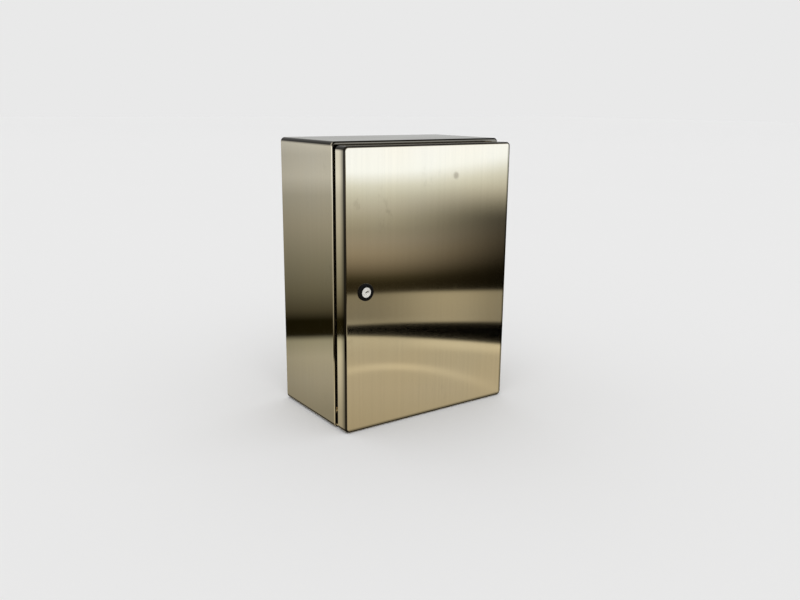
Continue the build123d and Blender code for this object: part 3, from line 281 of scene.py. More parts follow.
@dataclass(frozen=True)
class BrushedStainless(Finish):
    """Stainless sheet with a fine ground grain, a slight panel warp, handling marks, and painted shade and
    highlights at its folds and edges.

    The names in capitals are bands of Object coordinates, in metres: where a mask is 0, and where it is 1.
    """

    name: str
    tint: Colour = (0.66, 0.585, 0.455)
    patch_tint: Colour = (0.6501, 0.585, 0.46865)  # the cooler tone of broad patches
    roughness: float = 0.052
    anisotropy: float = 1.0
    warp: float = 0.00016  # height of the panel's slow waves
    smudge: float = 0.05
    fold_shade: float = 0.95  # how much darker the folds are than the flats: painted shade
    painted_highlight: float = 0.0  # how much brighter the painted highlight on the body's front fold beside the door gap is
    lip_shade: float = 0.0  # how much darker painted shade makes the strip of the body's front flange above the door gap
    flange_reflection: float = 0.0  # how strongly a painted reflection runs the door's side flanges from light at the back to dark at the front
    rim_shade: float = 0.0  # how much darker painted shade makes the door's face beside its right and lower folds
    marks: Tuple[Point, ...] = ()  # places of small handling marks
    seed: Point = ORIGIN

    HIGHLIGHT_DEPTH = (-0.0655, -0.0690)
    LIP_HEIGHT, LIP_DEPTH = (0.4925, 0.4940), (-0.0680, -0.0705)
    FLANGE_LIGHT, FLANGE_DARK = (-0.1020, -0.0900), (-0.0965, -0.1075)
    RIM_SIDE, RIM_FOOT = (0.1712, 0.1748), (0.0088, 0.0052)
    MARK_REACH = (0.0125, 0.0055)

    def dress(self, graph: Graph) -> None:
        """Tint with streaks, smudges and painted shade and highlights at the folds and edges, roughness that
        follows the streaks and smudges, and a warped, grained normal.
        """
        fine = self._grain(graph, 1900.0, 14.0)
        streak = self._grain(graph, 210.0, 2.2)
        broad = graph.noise(graph.place(centre=self.seed), 7.0, 3.0)
        smudge = self._smudges(graph, broad)
        level = self._edges(graph, 0.93 + streak * 0.09 + fine * 0.05 - smudge * self.smudge)
        tone = graph.blend(broad.rise(0.35, 0.7), self.tint, self.patch_tint)
        waves = graph.noise(graph.place((1.0, 1.0, 0.8), self.seed), 3.4, 1.0)
        height = waves * self.warp + streak * 0.0000016 + fine * 0.0000004
        graph.surface(
            {
                "Base Color": graph.shade(tone, level),
                "Metallic": 1.0,
                "Roughness": self.roughness + streak * 0.013 + fine * 0.007 + smudge * 0.07,
                "Anisotropic": self.anisotropy,
                "Normal": graph.bump(height),
            }
        )

    def _grain(self, graph: Graph, across: float, along: float) -> Signal:
        """Streaks that run up the walls and across the roof and base.

        Args:
            graph: The material's graph.
            across: Streaks per metre across the grain.
            along: Streaks per metre along it.

        Returns:
            The pattern, from 0 to 1.
        """
        upright = graph.noise(graph.place((across, across, along), self.seed), 1.0, 3.0, 0.6)
        level = graph.noise(graph.place((along, across, across), self.seed), 1.0, 3.0, 0.6)
        roof = graph.facing("Z").rise(0.35, 0.65)
        return upright * (1 - roof) + level * roof

    def _smudges(self, graph: Graph, broad: Signal) -> Signal:
        """Faint touches in some of the broad patches, and the handling marks.

        Args:
            graph: The material's graph.
            broad: The pattern of broad patches.

        Returns:
            How smudged the sheet is; more than 1 in a mark.
        """
        touch = graph.noise(graph.place((1.0, 1.0, 0.7), self.seed), 34.0, 4.0, 0.65)
        smudge = touch.rise(0.60, 0.74) * broad.rise(0.42, 0.62)
        for mark in self.marks:
            ends = {0: graph.place(), 1: mark}
            away = graph.node("ShaderNodeVectorMath", {"operation": "DISTANCE"}, ends, "Value")
            smudge = smudge + (away + touch * 0.007).rise(*self.MARK_REACH) * 2.2
        return smudge

    def _edges(self, graph: Graph, level: Signal) -> Signal:
        """Paints light and shade into the brightness: shade in the folds and in strips beside them, a highlight
        beside the door gap and a reflection on the door's flanges.

        Args:
            graph: The material's graph.
            level: The brightness of the flats.

        Returns:
            The brightness all over.
        """
        sideways, forwards, upwards = (graph.facing(name) for name in "XYZ")
        flat = sideways * sideways + forwards * forwards + upwards * upwards
        # painted shade: the colour darkens wherever the surface turns off the axes, at every fold
        fold = (1 - flat).rise(0.01, 0.20) * self.fold_shade
        if self.painted_highlight:
            # painted highlight: the body's front fold beside the door gap is spared the fold shade and made
            # brighter
            highlight_band = graph.along("Y").rise(*self.HIGHLIGHT_DEPTH) * sideways.rise(0.3, 0.5)
            level = level * (1 - fold * (1 - highlight_band)) + highlight_band * self.painted_highlight
        else:
            level = level * (1 - fold)
        if self.flange_reflection:
            # painted reflection: the door's side flanges are lighter towards the back and darker towards the
            # front
            depth = graph.along("Y")
            flange_sheen = depth.rise(*self.FLANGE_LIGHT) * 0.5 - depth.rise(*self.FLANGE_DARK) * 0.7
            level = level * (1 + flange_sheen * sideways.rise(0.8, 0.95) * self.flange_reflection)
        if self.lip_shade:
            # painted shade on the strip of the body's front flange that shows above the door's top edge
            lip = graph.along("Z").rise(*self.LIP_HEIGHT) * graph.along("Y").rise(*self.LIP_DEPTH)
            level = level * (1 - lip * self.lip_shade)
        if self.rim_shade:
            # painted shade along the door's face beside its right and lower folds
            inner = (1 - graph.along("X").rise(*self.RIM_SIDE)) * (1 - graph.along("Z").rise(*self.RIM_FOOT))
            level = level * (1 - (1 - inner) * forwards.rise(0.6, 0.9) * self.rim_shade)
        return level


@dataclass(frozen=True)
class Metal(Finish):
    """Bare, plated or dipped metal with the marks of how it was worked."""

    name: str
    tint: Colour
    roughness: float = 0.3
    grain: MetalGrain = MetalGrain.PLATED
    second: Colour = (0.6, 0.58, 0.5)  # tarnish or passivation colour
    stain: float = 0.25
    metallic: float = 1.0
    slot: str = ""

    def dress(self, graph: Graph) -> None:
        """Two tones under a worked pattern, with small scratches."""
        patch = graph.noise(graph.place(), 60.0, 3.0, 0.6).rise(0.45, 0.75)
        tone = graph.blend(patch * self.stain, self.tint, self.second)
        scratch = graph.noise(graph.place((900.0, 900.0, 60.0), turn=(0.3, 0.2, 0.5)), 1.0, 2.0)
        pattern, relief = self._pattern(graph)
        graph.surface(
            {
                "Base Color": graph.shade(tone, 0.86 + pattern * 0.2),
                "Metallic": self.metallic,
                "Roughness": self.roughness - 0.06 + pattern * 0.09 + scratch * 0.05,
                "Normal": graph.bump(pattern * relief + scratch * 0.000002),
            }
        )

    def _pattern(self, graph: Graph) -> Tuple[Signal, float]:
        """The worked pattern.

        Args:
            graph: The material's graph.

        Returns:
            The pattern from 0 to 1, and its height in metres.
        """
        if self.grain is MetalGrain.SPANGLED:
            sockets = {"Vector": graph.place(), "Scale": 95.0}
            cells = graph.node("ShaderNodeTexVoronoi", {"feature": "F1"}, sockets, "Color")
            return graph.axis(cells, "X") * 0.8 + graph.noise(graph.place(), 420.0) * 0.2, 0.000012
        if self.grain is MetalGrain.DRAWN_ALONG:
            return graph.noise(graph.place((30.0, 1500.0, 1500.0)), 1.0, 3.0), 0.000004
        if self.grain is MetalGrain.TURNED:
            return graph.noise(graph.place((120.0, 2600.0, 120.0)), 1.0, 2.0), 0.000006
        return graph.noise(graph.place(), 900.0, 3.0), 0.0000012


@dataclass(frozen=True)
class MouldedPlastic(Finish):
    """Moulded plastic with a spark-eroded texture, flow tone and a little dust on top."""

    name: str
    colour: Colour
    roughness: float = 0.42
    texture: float = 0.000012  # depth of the texture
    dust: float = 0.10
    specular: float = 0.5
    slot: str = ""

    def dress(self, graph: Graph) -> None:
        """Colour with slow tone, texture in the normal and the roughness, dust where it can settle."""
        slow = graph.noise(graph.place(), 45.0, 3.0)
        pit = graph.noise(graph.place(), 2600.0, 2.0, 0.7)
        top = graph.normal("Z").rise(0.3, 0.95) * graph.noise(graph.place(), 160.0, 4.0).rise(0.35, 0.7)
        tone = graph.shade(self.colour, 0.93 + slow * 0.14)
        graph.surface(
            {
                "Base Color": graph.blend(top * self.dust, tone, (0.52, 0.49, 0.44)),
                "Roughness": self.roughness - 0.05 + pit * 0.1 + top * 0.12,
                "Specular IOR Level": self.specular,
                "Normal": graph.bump(pit * self.texture),
            }
        )


@dataclass(frozen=True)
class FoamRubber(Finish):
    """Cellular sealing foam with a skin, fine pores and a few open ones."""

    name: str
    colour: Colour = (0.045, 0.044, 0.042)
    slot: str = "seal_foam"

    def dress(self, graph: Graph) -> None:
        """Dark skin with pores that are rougher and sunk, and painted shade that darkens the sunk pores and the
        cells' hollows.
        """
        sockets = {"Vector": graph.place(), "Scale": 1500.0}
        cells = graph.node("ShaderNodeTexVoronoi", {"feature": "SMOOTH_F1"}, sockets)
        open_pore = graph.noise(graph.place(), 700.0, 3.0, 0.7).rise(0.62, 0.72)
        # painted shade: darker where the bump sinks, in the open pores and the hollows of the cells
        tone = graph.shade(self.colour, 0.75 + cells * 0.5 - open_pore * 0.35)
        graph.surface(
            {
                "Base Color": tone,
                "Roughness": 0.72 + open_pore * 0.15,
                "Normal": graph.bump(cells * 0.00004 - open_pore * 0.00008),
            }
        )


@dataclass(frozen=True)
class PalePaper(Finish):
    """The studio's floor: matt, with the faintest tone."""

    name: str = "studio_floor"
    level: float = 0.865

    def dress(self, graph: Graph) -> None:
        """Matt grey-white."""
        slow = graph.noise(graph.place(), 0.7, 2.0)
        graph.surface(
            {
                "Base Color": graph.shade((1.0, 1.0, 1.0), self.level - 0.004 + slow * 0.008),
                "Roughness": 0.9,
                "Specular IOR Level": 0.1,
            }
        )


# The body's colour holds a painted highlight on its front fold beside the door gap, and painted shade on the
# strip above the door gap.
STAINLESS = BrushedStainless("brushed_stainless_body", painted_highlight=0.35, lip_shade=0.75, seed=(3.1, 1.7, 0.4))
# The door's colour holds a painted reflection on its side flanges and painted shade beside its right and lower
# folds.
STAINLESS_DOOR = BrushedStainless(
    "brushed_stainless_door", flange_reflection=1.0, rim_shade=0.55, marks=((0.052, -0.1085, 0.438),), seed=(0.9, 5.2, 2.3)
)
GALVANISED = Metal("galvanised_sheet", (0.62, 0.64, 0.66), 0.36, MetalGrain.SPANGLED, (0.5, 0.52, 0.55), 0.3)
ZINC = Metal(
    "zinc_plated_steel", (0.70, 0.71, 0.70), 0.26, MetalGrain.PLATED, (0.72, 0.66, 0.5), 0.4, slot="zinc_plated"
)
RAIL_ZINC = Metal("zinc_rail", (0.78, 0.77, 0.73), 0.24, MetalGrain.DRAWN_ALONG, (0.76, 0.70, 0.52), 0.5)
HINGE_STEEL = Metal("hinge_steel", (0.58, 0.57, 0.55), 0.27, MetalGrain.DRAWN_ALONG, (0.45, 0.43, 0.4), 0.3)
ALUMINIUM = Metal("turned_aluminium", (0.80, 0.81, 0.82), 0.24, MetalGrain.TURNED, (0.7, 0.7, 0.7), 0.2)
INSERT_PLATE = Metal(
    "bright_nickel", (0.96, 0.955, 0.92), 0.40, MetalGrain.TURNED, (0.75, 0.71, 0.62), 0.2, metallic=0.4
)
CAST_ZINC = Metal("cast_zinc_nut", (0.55, 0.55, 0.54), 0.34, MetalGrain.PLATED, (0.42, 0.42, 0.4), 0.4)
BRASS = Metal("drawn_brass", (0.80, 0.60, 0.28), 0.25, MetalGrain.DRAWN_ALONG, (0.52, 0.36, 0.16), 0.35)
COPPER = Metal("rolled_copper", (0.86, 0.48, 0.32), 0.27, MetalGrain.DRAWN_ALONG, (0.5, 0.26, 0.17), 0.35)
LOCK_BLACK = MouldedPlastic("lock_black", (0.003, 0.003, 0.003), 0.24, 0.000002, dust=0.0, specular=0.12)
CASE_GREY = MouldedPlastic("case_light_grey", (0.60, 0.61, 0.60), 0.45, slot="device_grey")
TERMINAL_GREY = MouldedPlastic("terminal_grey", (0.36, 0.37, 0.36), 0.5, slot="terminal_grey")
COVER_GREY = MouldedPlastic("comb_cover_grey", (0.27, 0.28, 0.29), 0.45, slot="comb_cover_grey")
LEVER_RED = MouldedPlastic("lever_red", (0.42, 0.018, 0.012), 0.32, 0.000006, slot="lever_red")
LEVER_BLUE = MouldedPlastic("lever_blue", (0.02, 0.07, 0.25), 0.32, 0.000006, slot="lever_blue")
LEVER_BLACK = MouldedPlastic("lever_black", (0.014, 0.014, 0.015), 0.34, 0.000006, slot="lever_black")
BUTTON_YELLOW = MouldedPlastic("button_yellow", (0.68, 0.42, 0.02), 0.35, 0.000006, slot="button_yellow")
SUPPORT_BLUE = MouldedPlastic("support_blue", (0.03, 0.12, 0.36), 0.42, slot="support_blue")
SUPPORT_GREEN = MouldedPlastic("support_green", (0.05, 0.24, 0.07), 0.42, slot="support_green")
BLANK_WHITE = MouldedPlastic("marker_white", (0.74, 0.74, 0.71), 0.5, 0.000004, slot="device_grey")
FLAG_GREEN = MouldedPlastic("flag_green", (0.03, 0.28, 0.08), 0.3, 0.000003, slot="support_green")
FOAM = FoamRubber("sealing_foam")
GASKET = FoamRubber("gasket_rubber", (0.03, 0.03, 0.03))


def dress_nodes(finish: Finish, *names: str) -> None:
    """Gives a finish to CAD nodes.

    Args:
        finish: The finish.
        names: The nodes' names.
    """
    for name in names:
        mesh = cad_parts[name].data
        for index in range(max(1, len(mesh.materials))):
            if index < len(mesh.materials):
                mesh.materials[index] = finish.material()
            else:
                mesh.materials.append(finish.material())


# ---- forming
def span(node: str) -> Tuple[Vector, Vector]:
    """The lowest and highest corners of a CAD node."""
    low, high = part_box(node)
    return Vector(low), Vector(high)


def turn_about(axis: str, degrees: float) -> Matrix:
    """A turn about an axis through the origin."""
    return Matrix.Rotation(math.radians(degrees), 4, axis)


def everything(form: Form) -> List[Any]:
    """All of a form's vertices, edges and faces."""
    return form.verts[:] + form.edges[:] + form.faces[:]


def pick(geometry: Iterable[Any], kind: type) -> List[Any]:
    """The vertices or the edges in what an operator made."""
    return [item for item in geometry if isinstance(item, kind)]


def add_block(form: Form, low: Point, high: Point) -> List[Vert]:
    """Adds a block.

    Args:
        form: The form to add to.
        low: The block's lowest corner.
        high: Its highest corner.

    Returns:
        Its vertices.
    """
    made = bmesh.ops.create_cube(form, size=1.0)["verts"]
    bmesh.ops.scale(form, vec=[b - a for a, b in zip(low, high)], verts=made)
    bmesh.ops.translate(form, vec=[(a + b) / 2 for a, b in zip(low, high)], verts=made)
    return made


def round_off(form: Form, edges: Sequence[Edge], width: float, segments: int = 2) -> None:
    """Rounds some edges."""
    bmesh.ops.bevel(
        form, geom=edges, offset=width, offset_type="OFFSET", affect="EDGES", segments=segments, profile=0.5,
        material=-1, clamp_overlap=True,
    )


def soften_edges(form: Form, width: float, segments: int = 2) -> None:
    """Rounds every sharp edge."""
    sharp = [e for e in form.edges if len(e.link_faces) == 2 and e.calc_face_angle(0.0) > SHARP_EDGE]
    round_off(form, sharp, width, segments)


@dataclass(frozen=True)
class SunkCard:
    """A small block that stands out of a wall facing -Y, with a pocket in its own face."""

    proud: float  # how far it stands out of the wall
    rooted: float  # how far it goes into the wall
    border: float  # width of the border round the pocket
    sunk: float  # the pocket's depth

    def add(self, form: Form, wall: float, across: Range, up: Range) -> None:
        """Adds the card to a form.

        Args:
            form: The form to add to.
            wall: The wall's Y.
            across: The card's lowest and highest X.
            up: Its lowest and highest Z.
        """
        low, high = (across[0], wall - self.proud, up[0]), (across[1], wall + self.rooted, up[1])
        chosen = set(add_block(form, low, high))
        form.normal_update()
        front = [f for f in form.faces if f.normal.y < -0.99 and all(v in chosen for v in f.verts)]
        bmesh.ops.inset_region(form, faces=front, thickness=self.border, depth=0.0, use_even_offset=True)
        bmesh.ops.translate(form, vec=(0.0, self.sunk, 0.0), verts=list({v for f in front for v in f.verts}))


def put(name: str, data: bpy.types.ID) -> bpy.types.Object:
    """Puts an object with this data into the scene."""
    made = bpy.data.objects.new(name, data)
    bpy.context.scene.collection.objects.link(made)
    return made


def mesh_of(name: str, form: Form, finish: Optional[Finish] = None) -> bpy.types.Mesh:
    """Turns a form into a mesh.

    Args:
        name: The mesh's name.
        form: Its shape, which is freed.
        finish: Its finish, if it is to be seen.

    Returns:
        The mesh.
    """
    mesh = bpy.data.meshes.new(name)
    form.to_mesh(mesh)
    form.free()
    if finish:
        mesh.materials.append(finish.material())
    return mesh


def make_piece(name: str, form: Form, finish: Finish, body: str, flat_angle: float = 50.0) -> bpy.types.Object:
    """Turns a form into a dressed piece that rides on a body.

    Args:
        name: The piece's name.
        form: Its shape, which is freed.
        finish: Its finish.
        body: The CAD body that it rides on.
        flat_angle: The angle in degrees past which an edge stays crisp.

    Returns:
        The piece.
    """
    bmesh.ops.recalc_face_normals(form, faces=form.faces[:])
    mesh = mesh_of(name, form, finish)
    mesh.shade_smooth()
    mesh.set_sharp_from_angle(angle=math.radians(flat_angle))
    piece = put(name, mesh)
    piece.modifiers.new("even_shading", "WEIGHTED_NORMAL").keep_sharp = True
    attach(piece, body)
    LOG.info("  %s: %d faces", name, len(mesh.polygons))
    return piece


def merged_form(node: str) -> Form:
    """A CAD node's shape, with its doubles merged."""
    form = bmesh.new()
    form.from_mesh(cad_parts[node].data)
    bmesh.ops.remove_doubles(form, verts=form.verts[:], dist=SAME_POINT)
    return form


def softened_form(node: str, width: float, segments: int = 2) -> Form:
    """A CAD node's shape, with its flat faces whole and its edges rounded.

    Args:
        node: The node's name.
        width: The rounding's width.
        segments: The steps in the rounding.

    Returns:
        The form.
    """
    form = merged_form(node)
    bmesh.ops.dissolve_limit(
        form, angle_limit=ONE_PLANE, use_dissolve_boundaries=False, verts=form.verts[:], edges=form.edges[:]
    )
    soften_edges(form, width, segments)
    return form


def mould(node: str, finish: Finish, width: float, body: str = "cabinet") -> None:
    """Puts a copy with its edges rounded, as in a mould, in a CAD node's place.

    Args:
        node: The node's name.
        finish: The moulding's finish.
        width: The width of its roundings.
        body: The CAD body that it rides on.
    """
    piece = make_piece(f"{node}_moulding", softened_form(node, width), finish, body)
    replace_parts(piece, node)


def make_seal(name: str, node: str, body: str, width: float) -> None:
    """Puts a rubber seal with soft edges in a CAD node's place.

    Args:
        name: The seal's name.
        node: The node's name.
        body: The CAD body that it rides on.
        width: The width of its roundings.
    """
    piece = make_piece(name, softened_form(node, width, 3), GASKET, body)
    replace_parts(piece, node)


def solids_of(node: str) -> List[Tuple[Vector, Vector]]:
    """Finds the separate solids in a CAD node.

    Args:
        node: The node's name.

    Returns:
        Each solid's lowest and highest corners, in the order of the lowest.
    """
    form = merged_form(node)
    found, left = [], set(form.verts)
    while left:
        heap, island = [left.pop()], []
        while heap:
            vert = heap.pop()
            island.append(vert.co.copy())
            joined = {edge.other_vert(vert) for edge in vert.link_edges} & left
            left -= joined
            heap.extend(joined)
        found.append(tuple(Vector([end(p[i] for p in island) for i in range(3)]) for end in (min, max)))
    form.free()
    return sorted(found, key=lambda pair: tuple(round(c, 5) for c in pair[0]))


@dataclass(frozen=True)
class Thread:
    """A thread for studs that the CAD leaves plain."""

    pitch: float
    depth: float

    STEPS = 18  # in one turn
    SPARE_TURNS = 3  # so that both ends can be cut square
    TURNS_TO = {0: ("Y", 90.0), 1: ("X", -90.0), 2: ("Z", 0.0)}  # what lays an upright rod along each axis

    def cut(self, node: str, body: str) -> None:
        """Puts threaded rods in the place of a CAD node of plain studs.

        Args:
            node: The node's name.
            body: The CAD body that they ride on.
        """
        form = bmesh.new()
        for low, high in solids_of(node):
            self._add_rod(form, low, high)
        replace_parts(make_piece(f"{node}_threaded", form, ZINC, body, 20.0), node)

    def _add_rod(self, form: Form, low: Vector, high: Vector) -> None:
        """Adds a threaded rod that fills a box, along the box's longest side.

        Args:
            form: The form to add to.
            low: The box's lowest corner.
            high: Its highest corner.
        """
        size = high - low
        along = max(range(3), key=lambda i: size[i])
        radius = min(size[i] for i in range(3) if i != along) / 2
        rod = self._upright_rod(radius, size[along])
        base = (low + high) / 2
        base[along] = low[along]
        place = Matrix.Translation(base) @ turn_about(*self.TURNS_TO[along])
        bmesh.ops.transform(rod, matrix=place, verts=rod.verts[:])
        mesh = mesh_of("rod", rod)
        form.from_mesh(mesh)
        bpy.data.meshes.remove(mesh)

    def _upright_rod(self, radius: float, length: float) -> Form:
        """A threaded rod that stands on the origin.

        Args:
            radius: The thread's outer radius.
            length: The rod's length.

        Returns:
            The closed form.
        """
        turns = int(length / self.pitch) + self.SPARE_TURNS
        start, root = -1.5 * self.pitch, radius - self.depth
        points = ((root, start), (radius, start + self.pitch / 2), (root, start + self.pitch))
        rod = bmesh.new()
        verts = [rod.verts.new((r, 0.0, z)) for r, z in points]
        edges = [rod.edges.new(pair) for pair in zip(verts, verts[1:])]
        bmesh.ops.spin(
            rod, geom=edges, cent=ORIGIN, axis=(0.0, 0.0, 1.0), dvec=(0.0, 0.0, self.pitch / self.STEPS),
            angle=math.tau * turns, steps=self.STEPS * turns, use_merge=False,
        )
        bmesh.ops.remove_doubles(rod, verts=rod.verts[:], dist=SAME_SPUN_POINT)
        for place, way in ((0.0, -1.0), (length, 1.0)):
            cut = {"plane_co": (0.0, 0.0, place), "plane_no": (0.0, 0.0, way), "clear_outer": True}
            bmesh.ops.bisect_plane(rod, geom=everything(rod), **cut)
            rim = [e for e in rod.edges if e.is_boundary and all(abs(v.co.z - place) < 1e-6 for v in e.verts)]
            bmesh.ops.holes_fill(rod, edges=rim, sides=0)
        return rod


@dataclass(frozen=True)
class RoundedRing:
    """A closed strip of one section, run round a rectangle with round corners."""

    width: float
    height: float
    corner: float
    corner_steps: int = 8
    cuts: int = 40  # in each straight run

    def sweep(self, section: Sequence[Range]) -> Form:
        """Runs a section round the ring, which lies flat about the origin.

        Args:
            section: The section's points: how far outward from the middle line, and how high.

        Returns:
            The closed form.
        """
        form = bmesh.new()
        half_w, half_h, corner = self.width / 2, self.height / 2, self.corner
        verts = [form.verts.new((half_w + out, corner - half_h, up)) for out, up in section]
        edges = [form.edges.new((a, b)) for a, b in zip(verts, verts[1:] + verts[:1])]
        runs = (
            ((0.0, 1.0), self.height, (half_w - corner, half_h - corner)),
            ((-1.0, 0.0), self.width, (corner - half_w, half_h - corner)),
            ((0.0, -1.0), self.height, (corner - half_w, corner - half_h)),
            ((1.0, 0.0), self.width, (half_w - corner, corner - half_h)),
        )
        for (right, ahead), length, centre in runs:
            step = (length - 2 * corner) / self.cuts
            for _ in range(self.cuts):
                made = bmesh.ops.extrude_edge_only(form, edges=edges)["geom"]
                bmesh.ops.translate(form, vec=(right * step, ahead * step, 0.0), verts=pick(made, Vert))
                edges = pick(made, Edge)
            turned = bmesh.ops.spin(
                form, geom=edges, cent=(*centre, 0.0), axis=(0.0, 0.0, 1.0), dvec=ORIGIN,
                angle=math.radians(90.0), steps=self.corner_steps, use_merge=False,
            )
            edges = pick(turned["geom_last"], Edge)
        bmesh.ops.remove_doubles(form, verts=form.verts[:], dist=SAME_SPUN_POINT)
        return form


# ---- studio
@dataclass
class Studio:
    """The pale floor, the soft room that the metal mirrors, the light and the camera."""

    floor_size: float = 60.0
    room_radius: float = 20.0
    room_height: float = 44.0  # above and below the cabinet's base
    backdrop: float = 0.815  # brightness all round
    key_strength: float = 0.55
    key_spread: float = 50.0  # degrees
    key_tilt: float = 38.0  # degrees from straight down
    key_turn: float = -30.0  # degrees
    camera_place: Point = (-0.8387, -1.2073, 0.5605)
    camera_turn: float = 35.07  # degrees to the right of straight ahead
    camera_tilt: float = 13.95  # degrees down
    camera_roll: float = 0.55
    camera_reach: float = 100.0  # how far it sees
    lens: float = 35.57  # millimetres

    def build(self) -> None:
        """Makes every part of the studio."""
        self.floor()
        self.room()
        self.light()
        self.camera()

    def floor(self) -> None:
        """The floor that the cabinet stands on, which the metal doesn't mirror."""
        form = bmesh.new()
        bmesh.ops.create_grid(form, x_segments=1, y_segments=1, size=self.floor_size / 2)
        floor = put("studio_floor", mesh_of("studio_floor", form, PalePaper()))
        floor.visible_glossy = False

    def room(self) -> None:
        """A round wall of soft light and shade, seen only in the metal."""
        form = bmesh.new()
        bmesh.ops.create_cone(
            form, segments=96, cap_ends=False, radius1=self.room_radius, radius2=self.room_radius,
            depth=2 * self.room_height,
        )
        bmesh.ops.reverse_faces(form, faces=form.faces[:])
        room = put("studio_room", mesh_of("studio_room", form, RoomGlow(radius=self.room_radius)))
        for flag in ("visible_camera", "visible_diffuse", "visible_transmission", "visible_shadow"):
            setattr(room, flag, False)

    def light(self) -> None:
        """Even light from all round, and a broad soft key from the front left above."""
        world = bpy.data.worlds.new("studio_light")
        graph = Graph(world)
        glow = graph.node("ShaderNodeBackground", None, {"Color": UNSCALED, "Strength": self.backdrop})
        graph.node("ShaderNodeOutputWorld", None, {"Surface": glow})
        bpy.context.scene.world = world
        key = bpy.data.lights.new("soft_key", "SUN")
        key.energy = self.key_strength
        key.angle = math.radians(self.key_spread)
        lamp = put("soft_key", key)
        lamp.rotation_euler = (math.radians(self.key_tilt), 0.0, math.radians(self.key_turn))
        lamp.visible_glossy = False
        bpy.context.scene.view_settings.view_transform = "Standard"

    def camera(self) -> None:
        """The camera, in front, to the left and a little above."""
        data = bpy.data.cameras.new("camera")
        data.lens = self.lens
        data.clip_end = self.camera_reach
        camera = put("camera", data)
        turn = turn_about("Z", -self.camera_turn) @ turn_about("X", 90.0 - self.camera_tilt)
        camera.matrix_world = Matrix.Translation(self.camera_place) @ turn @ turn_about("Z", self.camera_roll)
        bpy.context.scene.camera = camera


